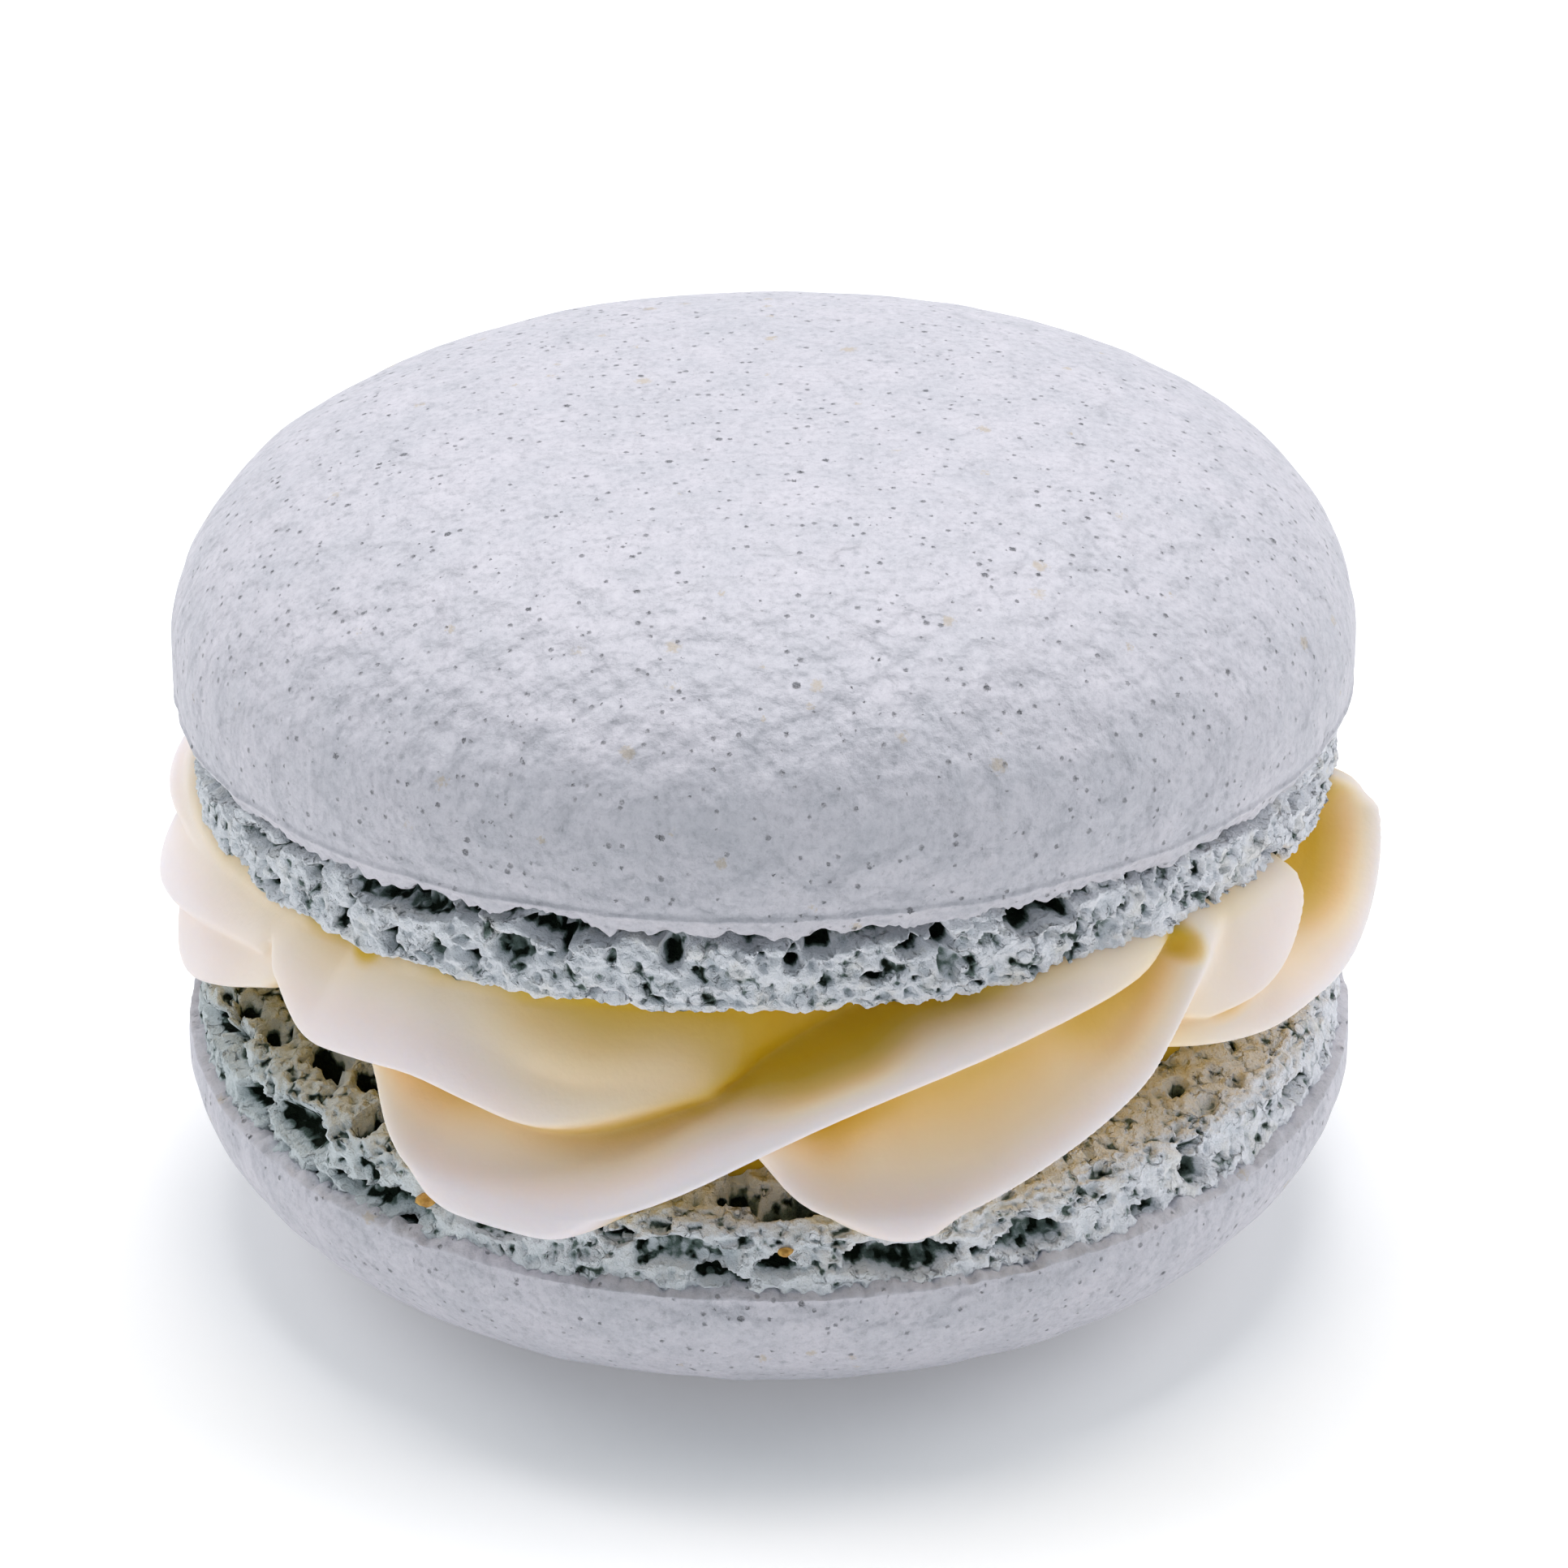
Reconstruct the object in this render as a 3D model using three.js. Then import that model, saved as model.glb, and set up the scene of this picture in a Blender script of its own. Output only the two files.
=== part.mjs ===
// A French macaron: two domed meringue halves, each with a ruffled, porous foot, and a piped cream
// filling that swells out between them. Each half is one solid, and so is the filling.
// Millimetres, +Z up. The lower half lies dome down, and the origin is the middle of the flat spot
// that it rests on. Angles are in degrees about +Z, from +X towards +Y; the front is at -90.
import * as THREE from "three";

// ---- The two halves. Heights are from the rim, where the smooth skin ends and the foot begins ----
const TOP = {
  name: "top_shell",
  rimRadius: 20.9,
  widest: 21.0,
  widestAt: 1.06,
  domeHeight: 8.84,
  domeSide: 3.13, // superellipse power of the side: higher is squarer
  domeCrest: 2.24, // superellipse power of the crest
  flatSpot: 0,
  footHeight: 3.92,
  footRadius: 20.5,
  footLean: 0.1, // how much narrower the foot is at its edge
  footEdge: 0.5, // radius of the round between the foot's side and the inner face
  lip: [0.5, 0.9], // least and most that the skin's ragged edge hangs below the rim
  recess: 0.5, // how far the foot steps in under the lip
  faceSlope: 0, // rise of the inner face towards the middle
  seed: 3,
};
const BOTTOM = {
  name: "bottom_shell",
  rimRadius: 21.05,
  widest: 21.15,
  widestAt: 0.83,
  domeHeight: 6.8,
  domeSide: 4.0,
  domeCrest: 1.72,
  flatSpot: 9.5, // radius of the flat spot that the macaron rests on
  footHeight: 2.8,
  footRadius: 21.0,
  footLean: 0.45,
  footEdge: 1.2,
  lip: [0.15, 0.35],
  recess: 0.1,
  faceSlope: 0.22,
  seed: 11,
};
const TOP_PLACE = { x: -0.2, y: 0.15, rimHeight: 20.87, pitch: -0.05, roll: -0.016 }; // angles in radians
const LIP = { cells: 90, turnIn: 0.3 }; // waves of the skin's ragged edge, and how far it turns in
const CRAG = { depth: 0.5, cells: 60, height: 1.3 }; // lumps of the foot
const FACE_INNER = 15; // an inner face that slopes rises towards the middle as far in as this radius

// Hollows that show in each foot: [angle, depth below the rim, width, height, depth inwards]
const TOP_HOLLOWS = [
  [-155, 0.8, 5.6, 0.7, 0.5],
  [-142, 0.9, 1.7, 1.0, 0.9],
  [-127, 1.3, 4.6, 1.2, 1.4],
  [-116, 0.9, 3.4, 0.6, 0.8],
  [-114.5, 2.2, 1.5, 1.1, 0.8],
  [-98.5, 1.4, 1.2, 1.6, 0.9],
  [-92, 1.0, 2.2, 0.8, 0.8],
  [-83.5, 1.2, 1.7, 1.0, 0.8],
  [-63, 1.4, 2.8, 1.2, 1.8],
  [-42, 0.9, 2.0, 0.7, 0.8],
  [-33, 0.9, 2.3, 1.1, 0.9],
];
const BOTTOM_HOLLOWS = [
  [-158, 1.9, 2.4, 1.2, 1.5],
  [-143, 1.7, 3.4, 1.8, 1.3],
  [-94.5, 0.6, 1.9, 0.7, 1.0],
  [-89, 1.1, 1.6, 0.6, 1.0],
  [-81, 1.2, 1.6, 1.1, 1.6],
  [-65, 1.6, 1.0, 0.7, 0.9],
  [-51, 0.7, 1.2, 0.8, 0.8],
];
const HIDDEN_ARC = [-20, 195]; // the rest of the way round, where hollows follow a rule
const HIDDEN_HOLLOWS = 12;

// Hollows in the inner face of the lower half: [angle, radius, width, breadth, depth]
const FACE_HOLLOWS = [
  [-146, 17.6, 4.2, 2.4, 1.6],
  [-93, 17.8, 3.0, 1.8, 1.1],
];

// ---- The filling, drawn on a band of nominal height between planes close to the faces of the halves ----
const BAND = 7.9;
const BAND_CEILING = 3.6; // below the rim of the upper half
const UNROLL_RADIUS = 20; // turns an angle along the band into a length
const GAP = 0.3; // clearance between the filling and each half
const CORE = { reach: 17.5, middle: 5, round: 6 };
const CREASE = 0.1; // how softly two ridges meet
// The upper half presses the filling in, the more the closer to it.
const PRESS = { reach: 20, slope: 2.2, soft: 0.25 };
const SPREAD = 10; // how slowly a ridge falls away beyond its sides
const RIDGE_BLEND = 1;
const RIDGE_REACH = 9; // how far a ridge is felt beyond its ends
// A ridge is a smooth line through a few points of [angle, height on the band, radius of its crest, how far
// the surface falls above the crest, half-width of that fall, how far it falls below the crest].
const FRONT_RIDGES = [
  {
    // the back of the left side
    path: [
      [-214, 5.8, 21.5, 1.2, 1.2, 1],
      [-200, 6.2, 21.9, 1.2, 1.2, 1],
      [-185, 6.4, 21.7, 1.2, 1.2, 1],
      [-172, 6.8, 21, 1.2, 1.2, 1.6],
      [-158, 7.4, 20.3, 1.2, 1.2, 5],
    ],
    belowWidth: 1.2,
  },
  {
    // the left side
    path: [
      [-214, 2.6, 21.5, 1, 1.8, 4],
      [-195, 2.8, 21.9, 1, 1.8, 4],
      [-180, 3.3, 21.9, 1, 1.8, 4],
      [-168, 4.4, 21.7, 1, 1.8, 4],
      [-158, 5.3, 21.3, 1, 1.8, 5],
      [-148, 5.8, 20.7, 1, 1.8, 7],
    ],
    belowWidth: 2,
  },
  {
    // the low fold on the left
    path: [
      [-214, 0.6, 21, 0.2, 2.5, 6],
      [-190, 0.7, 21.2, 0.2, 2.5, 6],
      [-174, 1, 21.3, 0.2, 2.5, 6],
      [-164, 1.7, 21.4, 0.2, 2.5, 6],
      [-156, 2.8, 21.3, 0.2, 2.5, 6],
      [-147, 4.2, 20.6, 0.2, 2.5, 7],
    ],
    belowWidth: 0.8,
  },
  {
    // the lobe that hangs at the left of the front
    path: [
      [-144, 5.4, 20.7, 1.6, 3, 8],
      [-141, 4.6, 21.2, 1.9, 3, 8],
      [-137, 4, 21.5, 2, 3, 8],
      [-131, 4.2, 21.6, 2, 3, 7],
      [-124, 4.4, 21.6, 2.1, 3, 4.5],
      [-118, 3.9, 21.4, 2.1, 3, 3],
      [-113, 3.4, 21.1, 2, 3, 2.2],
      [-108, 3.5, 20.7, 2, 3, 1.8],
      [-102, 4, 20.2, 2, 3, 1.6],
      [-96, 4.6, 19.7, 1.8, 3, 1.6],
    ],
    belowWidth: 1,
  },
  {
    // its upper body, under the upper half
    path: [
      [-120, 5.6, 20.7, 1.8, 3, 1.8],
      [-108, 5, 20.4, 1.8, 3, 1.8],
      [-98, 5.3, 19.7, 1.8, 3, 1.8],
      [-90, 6.2, 19, 1.6, 3, 1.8],
      [-80, 7.6, 18.4, 1, 3, 1.8],
    ],
    belowWidth: 2,
  },
  {
    // the long rope across the front
    path: [
      [-131, 3.6, 20.2, 1.6, 1.3, 7],
      [-128, 1.7, 21.1, 1.7, 1.3, 7],
      [-124, 0.5, 21.6, 1.8, 1.3, 7],
      [-118, 0, 21.9, 2, 1.3, 6.5],
      [-111, 0, 22.1, 2.4, 1.3, 6],
      [-104, 0.8, 22.1, 3.2, 1.2, 5.5],
      [-98, 1.9, 22.1, 4, 1.2, 5],
      [-91, 3.4, 22, 4.7, 1.2, 4.5],
      [-84, 4.7, 22, 4.9, 1.2, 3.8],
      [-76, 5.7, 21.8, 4.6, 1.1, 3],
      [-64, 6.7, 21.4, 4, 1.1, 2.4],
      [-54, 7.4, 21.1, 2.4, 1.2, 2.2],
      [-48, 8.1, 20.6, 2, 1.4, 2.6],
    ],
    belowWidth: 0.9,
  },
  {
    // the petal in front
    path: [
      [-91, 2.4, 19.9, 1.2, 1.2, 7],
      [-87, 1, 20.9, 1.3, 1.2, 7],
      [-82, 0.4, 21.5, 1.4, 1.2, 7],
      [-75, 0.3, 21.8, 1.5, 1.3, 7],
      [-64, 1.9, 21.9, 1.6, 1.3, 7],
      [-55, 3.6, 21.8, 1.7, 1.1, 6],
      [-51.5, 4.8, 21.6, 1.9, 0.9, 3.5],
      [-48.5, 6, 21.4, 2.1, 0.75, 1],
      [-45.5, 7.2, 21.1, 2.4, 0.7, 0.6],
      [-42.5, 8.6, 20.8, 2.4, 0.7, 0.6],
    ],
    belowWidth: 0.7,
  },
  {
    // the fold beside it
    path: [
      [-43.5, 4.4, 20.3, 0.3, 3, 3],
      [-41.5, 4.4, 20.8, 0.3, 3, 3],
      [-39.5, 4.5, 21.1, 0.3, 3, 3],
      [-36.5, 4.8, 21.3, 0.3, 3, 3],
      [-33, 5.6, 21.3, 0.4, 3, 3.4],
      [-30.5, 7, 21.2, 0.4, 3, 3.8],
      [-29.8, 9, 21, 0.4, 3, 3.8],
    ],
    belowWidth: 0.6,
  },
  {
    // the right side
    path: [
      [-50, 3.8, 19.6, 0.6, 1.2, 6],
      [-45, 3.4, 20.6, 0.6, 1.2, 6],
      [-36, 2.9, 21.2, 0.8, 1.2, 6],
      [-29, 3, 21.6, 2, 1, 6],
      [-21, 3.2, 21.8, 3, 0.9, 6],
      [-14, 4.3, 22.1, 3.6, 0.8, 5],
      [-8, 6.2, 22.3, 3.6, 0.8, 5],
      [-5, 8.6, 22.1, 3.2, 0.8, 5],
    ],
    belowWidth: 0.9,
  },
];
// The same ruffles carry on round the hidden side, each like the one before.
const BACK_RIDGES = { first: 4, last: 124, count: 5, belowWidth: 0.9 };
const BACK_SHAPE = [
  [0, 1.9, 20.4, 1.3, 1.6, 6],
  [7, 0.6, 21.5, 1.3, 1.6, 6],
  [18, 0.5, 22.0, 1.6, 1.5, 6],
  [34, 3.2, 22.0, 2.6, 1.2, 5],
  [48, 6.0, 21.7, 3.2, 0.9, 2],
  [60, 8.6, 21.0, 3.0, 0.9, 1.6],
];

const RAD = Math.PI / 180;
const lerp = (a, b, t) => a + (b - a) * t;
const clamp = (value, low, high) => Math.min(high, Math.max(low, value));
const ease = (t) => t * t * (3 - 2 * t);

// A number from 0 to 1 that is always the same for the same two whole numbers and seed.
function scatter(i, j, seed) {
  const s = Math.sin(i * 127.1 + j * 311.7 + seed * 74.7) * 43758.5453;
  return s - Math.floor(s);
}

// Smooth noise from 0 to 1 round the foot: cells of it fit the full turn.
function ringNoise(angle, height, cells, seed) {
  const a = ((((angle / 360) * cells) % cells) + cells) % cells;
  const i = Math.floor(a);
  const j = Math.floor(height);
  const [u, v] = [ease(a - i), ease(height - j)];
  const next = (i + 1) % cells;
  return lerp(
    lerp(scatter(i, j, seed), scatter(next, j, seed), u),
    lerp(scatter(i, j + 1, seed), scatter(next, j + 1, seed), u),
    v,
  );
}

// ---- One half: rows of [radius, height above the rim], from the dome's centre to the foot's ----
const DOME_ANGLES = [79, 68, 57, 46, 34, 22, 10]; // superellipse angles of the rows, crest to side
const FOOT_ROWS = 7;
const FACE_RADII = [17.6, FACE_INNER];
const HALF_COLUMNS = 96;

function domeHeightAt(half, radius) {
  const share = 1 - (radius / half.widest) ** half.domeSide;
  return half.widestAt + half.domeHeight * Math.max(0, share) ** (1 / half.domeCrest);
}

// How far the inner face of a half stands beyond its edge, towards the other half.
function faceRise(half, radius) {
  const edge = half.footRadius - half.footLean - half.footEdge;
  return half.faceSlope * Math.max(0, edge - Math.max(radius, FACE_INNER));
}

function hollowsOf(half, shown) {
  const [from, to] = HIDDEN_ARC;
  const hidden = Array.from({ length: HIDDEN_HOLLOWS }, (_, i) => {
    const draw = (k) => scatter(i, k, half.seed);
    return [
      lerp(from, to, (i + 0.2 + 0.6 * draw(1)) / HIDDEN_HOLLOWS),
      lerp(0.8, half.footHeight * 0.55, draw(2)),
      lerp(1.2, 4.2, draw(3)),
      lerp(0.6, 1.3, draw(4)),
      lerp(0.7, 1.5, draw(5)),
    ];
  });
  return [...shown, ...hidden];
}

function hollowDepth(hollows, angle, drop) {
  let deepest = 0;
  for (const [at, down, width, height, depth] of hollows) {
    const turn = ((((angle - at) % 360) + 540) % 360) - 180;
    const across = (turn * RAD * UNROLL_RADIUS) / (width / 2);
    const along = (drop - down) / (height / 2);
    const inside = 1 - across ** 2 - along ** 2;
    if (inside > 0) deepest = Math.max(deepest, depth * Math.sqrt(inside));
  }
  return deepest;
}

function halfRows(half, hollows, faceHollows, angle) {
  const top = domeHeightAt(half, half.flatSpot);
  const dome = DOME_ANGLES.map((turn) => {
    const r = Math.max(half.flatSpot, half.widest * Math.cos(turn * RAD) ** (2 / half.domeSide));
    return [r, domeHeightAt(half, r)];
  });
  const lip = lerp(...half.lip, ringNoise(angle, 0, LIP.cells, half.seed));
  const skin = [
    [half.widest, half.widestAt],
    [half.rimRadius, 0],
    [half.rimRadius - LIP.turnIn, -lip],
  ];
  // The foot goes down its side, round its edge and on to the inner face.
  const edge = half.footEdge;
  const side = half.footHeight - edge;
  const foot = [];
  for (let i = 0; i < FOOT_ROWS; i++) {
    const length = lerp(lip + 0.1, side + (edge * Math.PI) / 2, i / (FOOT_ROWS - 1));
    const turn = clamp((length - side) / edge, 0, Math.PI / 2);
    const drop = Math.min(length, side) + edge * Math.sin(turn);
    const lean = half.footLean * clamp(length / side, 0, 1);
    const radius = half.footRadius - edge + edge * Math.cos(turn) - lean;
    const lump = CRAG.depth * (ringNoise(angle, drop / CRAG.height + 5, CRAG.cells, half.seed + 1) - 0.7);
    const recess = half.recess * Math.max(0, 1 - (length - lip) * 2);
    const relief = lump - recess - hollowDepth(hollows, angle, length);
    foot.push([radius + relief * Math.cos(turn), -drop - relief * Math.sin(turn)]);
  }
  const face = (r) => hollowDepth(faceHollows, angle, r) - half.footHeight - faceRise(half, r);
  const inner = FACE_RADII.map((r) => [r, face(r)]);
  return { rows: [...dome, ...skin, ...foot, ...inner], poleHeight: top, endHeight: inner.at(-1)[1] };
}

const apart = (points, i, j) => Math.hypot(...[0, 1, 2].map((k) => points[3 * i + k] - points[3 * j + k]));

// A closed solid of revolution whose profile changes with the angle. columns[i] is a list of
// [radius, height]; the two ends of every list close on the axis at the given heights.
function closedRevolve(columns, firstHeight, lastHeight) {
  const rows = columns[0].rows.length;
  const points = [0, 0, firstHeight];
  for (let row = 0; row < rows; row++)
    for (const { angle, rows: profile } of columns) {
      const [r, z] = profile[row];
      points.push(r * Math.cos(angle * RAD), r * Math.sin(angle * RAD), z);
    }
  points.push(0, 0, lastHeight);
  const count = columns.length;
  const last = points.length / 3 - 1;
  const faces = [];
  for (let c = 0; c < count; c++) {
    const n = (c + 1) % count;
    faces.push(0, 1 + c, 1 + n);
    for (let row = 0; row + 1 < rows; row++) {
      const [a, b] = [1 + row * count + c, 1 + row * count + n];
      const [d, e] = [a + count, b + count];
      // Each quad is split along its shorter diagonal, so that a crease stays a clean line.
      if (apart(points, a, e) < 0.98 * apart(points, b, d)) faces.push(a, d, e, a, e, b);
      else faces.push(a, d, b, b, d, e);
    }
    faces.push(last, last - count + n, last - count + c);
  }
  const geometry = new THREE.BufferGeometry();
  geometry.setAttribute("position", new THREE.Float32BufferAttribute(points, 3));
  geometry.setIndex(faces);
  geometry.computeVertexNormals();
  return geometry;
}

const turnOf = (count) => Array.from({ length: count }, (_, i) => (360 * i) / count - 180);

function halfGeometry(half, shownHollows, faceHollows) {
  const hollows = hollowsOf(half, shownHollows);
  const at = (angle) => ({ angle, ...halfRows(half, hollows, faceHollows, angle) });
  const columns = turnOf(HALF_COLUMNS).map(at);
  return closedRevolve(columns, columns[0].poleHeight, columns[0].endHeight);
}

// ---- The filling ----
const RIDGE_STEPS = 36;
const CREAM_COLUMNS = 170;
const SIDE_ROWS = 17;
const BAND_STEPS = 60;
const SHARPEST = 1.1; // least half-width of a ridge's sides, which the facets can still follow
const STEEPEST = 3.6; // most that a ridge falls below its crest
const ROUNDING = { across: 2, up: 3 }; // columns and steps of the band over which a crest is rounded
const SWELL = 0.48; // makes up for what rounding takes off the crests

function backRidges() {
  const { first, last, count, belowWidth } = BACK_RIDGES;
  return Array.from({ length: count }, (_, i) => {
    const start = lerp(first, last, i / (count - 1)) + 8 * (scatter(i, 1, 7) - 0.5);
    const lift = 1.2 * (scatter(i, 2, 7) - 0.5);
    const shrink = 0.4 * scatter(i, 3, 7);
    const moved = ([at, height, reach, ...fall]) => [start + at, height + lift, reach - shrink, ...fall];
    return { path: BACK_SHAPE.map(moved), belowWidth };
  });
}

// A Catmull-Rom curve through points of any number of parts, with its ends mirrored.
function smoothLine(points, steps) {
  const mirror = (end, next) => end.map((v, k) => 2 * v - next[k]);
  const p = [mirror(points[0], points[1]), ...points, mirror(points.at(-1), points.at(-2))];
  return Array.from({ length: steps + 1 }, (_, n) => {
    const at = ((points.length - 1) * n) / steps;
    const i = Math.min(Math.floor(at), points.length - 2);
    const t = at - i;
    const [a, b, c, d] = p.slice(i, i + 4);
    return a.map((_, k) => {
      const bend = 2 * a[k] - 5 * b[k] + 4 * c[k] - d[k];
      const twist = 3 * b[k] - a[k] - 3 * c[k] + d[k];
      return b[k] + ((c[k] - a[k]) * t + bend * t ** 2 + twist * t ** 3) / 2;
    });
  });
}

// Each ridge as short stretches along the unrolled band, with the shape of its cross-section in each.
function ridgeStretches({ path, belowWidth }) {
  const unroll = ([angle, ...rest]) => [angle * RAD * UNROLL_RADIUS, ...rest];
  const line = smoothLine(path, RIDGE_STEPS).map(unroll);
  const stretches = [];
  for (let i = 0; i < RIDGE_STEPS; i++) {
    const [from, to] = [line[i], line[i + 1]];
    const [, , crest, fall, side, drop] = from.map((v, k) => (v + to[k]) / 2);
    const width = Math.max(SHARPEST, side);
    const below = Math.min(STEEPEST, drop);
    stretches.push({ from, du: to[0] - from[0], dh: to[1] - from[1], crest, fall, width, below });
  }
  const [start, end] = [line[0][0], line[RIDGE_STEPS][0]];
  return { stretches, belowWidth: Math.max(SHARPEST, belowWidth), start, end };
}

// The radius that one ridge gives at a place on the band, blended over the stretches of its line.
function ridgeRadius({ stretches, belowWidth }, along, height) {
  const near = stretches.map(({ from, du, dh }) => {
    const long = du * du + dh * dh;
    const share = clamp(((along - from[0]) * du + (height - from[1]) * dh) / long, 0, 1);
    const [u, h] = [along - from[0] - share * du, height - from[1] - share * dh];
    const square = u * u + h * h;
    const lift = (du * h - dh * u) / Math.sqrt(long * square + 1e-9);
    return { square, above: ease(clamp((lift + 0.4) / 0.8, 0, 1)) };
  });
  const square = Math.min(...near.map((n) => n.square));
  const sums = { weight: 0, crest: 0, fall: 0, width: 0, below: 0, above: 0 };
  stretches.forEach((stretch, i) => {
    const weight = Math.exp((square - near[i].square) / RIDGE_BLEND ** 2);
    sums.weight += weight;
    sums.above += weight * near[i].above;
    for (const key of ["crest", "fall", "width", "below"]) sums[key] += weight * stretch[key];
  });
  const [crest, fall, side, below, above] = ["crest", "fall", "width", "below", "above"].map(
    (key) => sums[key] / sums.weight,
  );
  const depth = lerp(below, fall, above);
  const width = lerp(belowWidth, side, above);
  return crest - (depth * square) / (square + width ** 2) - square / (2 * SPREAD);
}

function creamRadius(ridges, angle, height) {
  const full = 360 * RAD * UNROLL_RADIUS;
  const candidates = [CORE.reach - (height - CORE.middle) ** 2 / (2 * CORE.round)];
  for (const ridge of ridges)
    for (const turn of [-full, 0, full]) {
      const along = angle * RAD * UNROLL_RADIUS + turn;
      if (along > ridge.start - RIDGE_REACH && along < ridge.end + RIDGE_REACH)
        candidates.push(ridgeRadius(ridge, along, height));
    }
  const most = Math.max(...candidates);
  const weights = candidates.map((radius) => Math.exp((radius - most) / CREASE));
  const free = most + CREASE * Math.log(weights.reduce((sum, weight) => sum + weight, 0));
  const pressed = PRESS.reach + PRESS.slope * (BAND - height);
  return free - PRESS.soft * Math.log1p(Math.exp(Math.min(50, (free - pressed) / PRESS.soft)));
}

// The faces that the filling lies between: the lower one by radius, and the upper one, drop below its rim,
// by place.
function lowerFace(radius) {
  return domeHeightAt(BOTTOM, BOTTOM.flatSpot) + BOTTOM.footHeight + faceRise(BOTTOM, radius);
}

function upperFace(x, y, drop) {
  const pitched = Math.sin(TOP_PLACE.pitch) * (y - TOP_PLACE.y);
  const rolled = Math.sin(TOP_PLACE.roll) * (x - TOP_PLACE.x);
  return TOP_PLACE.rimHeight - drop + pitched - rolled;
}

// A place on the filling: share is 0 at its lower face and 1 at its upper one.
function creamPoint(angle, radius, share) {
  const [x, y] = [radius * Math.cos(angle * RAD), radius * Math.sin(angle * RAD)];
  return [radius, lerp(lowerFace(radius) + GAP, upperFace(x, y, TOP.footHeight) - GAP, share)];
}

// Radii of the side at even steps of share.
function creamRadii(ridges, angle) {
  const [x, y] = [UNROLL_RADIUS * Math.cos(angle * RAD), UNROLL_RADIUS * Math.sin(angle * RAD)];
  const floor = lowerFace(UNROLL_RADIUS);
  return Array.from({ length: BAND_STEPS + 1 }, (_, i) => {
    const z = lerp(floor + GAP, upperFace(x, y, TOP.footHeight) - GAP, i / BAND_STEPS);
    return creamRadius(ridges, angle, (BAND * (z - floor)) / (upperFace(x, y, BAND_CEILING) - floor));
  });
}

// Each value averaged with the ones up to reach away, the nearest counting most. at(i) gives a value.
function average(at, i, reach) {
  let [sum, total] = [0, 0];
  for (let k = -reach; k <= reach; k++) {
    const weight = reach + 1 - Math.abs(k);
    sum += weight * at(i + k);
    total += weight;
  }
  return sum / total;
}

// Rounds the crests off, so that they run smoothly across the squares of the grid.
function soften(table) {
  const count = table.length;
  const beside = (k, i) => table[(k + count) % count][i];
  const level = (radii, k) => radii[clamp(k, 0, BAND_STEPS)];
  const across = table.map((radii, c) =>
    radii.map((_, i) => average((k) => beside(k, i), c, ROUNDING.across)),
  );
  return across.map((radii) =>
    radii.map((_, i) => SWELL + average((k) => level(radii, k), i, ROUNDING.up)),
  );
}

// Shares spaced evenly along the outline, so that steep and level stretches both get rows.
function spacedShares(radii) {
  const rise = BAND / BAND_STEPS;
  const lengths = [0];
  for (let i = 1; i <= BAND_STEPS; i++) {
    lengths.push(lengths[i - 1] + Math.hypot(radii[i] - radii[i - 1], rise));
  }
  return Array.from({ length: SIDE_ROWS }, (_, i) => {
    const wanted = (lengths[BAND_STEPS] * i) / (SIDE_ROWS - 1);
    const k = Math.min(BAND_STEPS - 1, lengths.findLastIndex((s) => s <= wanted));
    return (k + (wanted - lengths[k]) / (lengths[k + 1] - lengths[k])) / BAND_STEPS;
  });
}

function creamGeometry() {
  const ridges = [...FRONT_RIDGES, ...backRidges()].map(ridgeStretches);
  const angles = turnOf(CREAM_COLUMNS);
  const table = soften(angles.map((angle) => creamRadii(ridges, angle)));
  const shares = table.map(spacedShares);
  const columns = angles.map((angle, c) => {
    const radii = table[c];
    const side = shares[c].map((_, row) => {
      const share = average((k) => shares[(k + CREAM_COLUMNS) % CREAM_COLUMNS][row], c, 2);
      const k = Math.min(BAND_STEPS - 1, Math.floor(share * BAND_STEPS));
      return creamPoint(angle, lerp(radii[k], radii[k + 1], share * BAND_STEPS - k), share);
    });
    return { angle, rows: [creamPoint(angle, 12, 1), ...side.reverse(), creamPoint(angle, FACE_INNER, 0)] };
  });
  return closedRevolve(columns, upperFace(0, 0, TOP.footHeight) - GAP, lowerFace(0) + GAP);
}

// ---- Assembly ----
const meringue = new THREE.MeshStandardMaterial({ color: 0xd3d3dd, roughness: 0.9, metalness: 0 });
const cream = new THREE.MeshStandardMaterial({ color: 0xe9d9cc, roughness: 0.55, metalness: 0 });

function named(name, geometry, material) {
  const mesh = new THREE.Mesh(geometry, material);
  mesh.name = name;
  return mesh;
}

const topShell = named(TOP.name, halfGeometry(TOP, TOP_HOLLOWS, []), meringue);
topShell.position.set(TOP_PLACE.x, TOP_PLACE.y, TOP_PLACE.rimHeight);
topShell.rotation.set(TOP_PLACE.pitch, TOP_PLACE.roll, 0, "YXZ");

// Turned over about the X axis, so an angle on it is the opposite of the angle as it lies.
const turnedOver = (hollows) => hollows.map(([at, ...rest]) => [-at, ...rest]);
const bottomGeometry = halfGeometry(BOTTOM, turnedOver(BOTTOM_HOLLOWS), turnedOver(FACE_HOLLOWS));
const bottomShell = named(BOTTOM.name, bottomGeometry, meringue);
bottomShell.rotation.x = Math.PI;
bottomShell.position.z = domeHeightAt(BOTTOM, BOTTOM.flatSpot);

const macaron = new THREE.Group();
macaron.add(bottomShell, named("cream_filling", creamGeometry(), cream), topShell);

export default macaron;
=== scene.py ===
"""The looks of a French macaron: two meringue halves, each a smooth skin over a porous foot, and the
piped cream between them. Sizes are in millimetres until make_piece turns them into metres, +Z is up and
angles are in degrees about it, with the front at -90. Every random draw is seeded."""

import math
from types import SimpleNamespace as Values

import bpy
import numpy as np
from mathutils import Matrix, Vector
from mathutils.bvhtree import BVHTree


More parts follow.
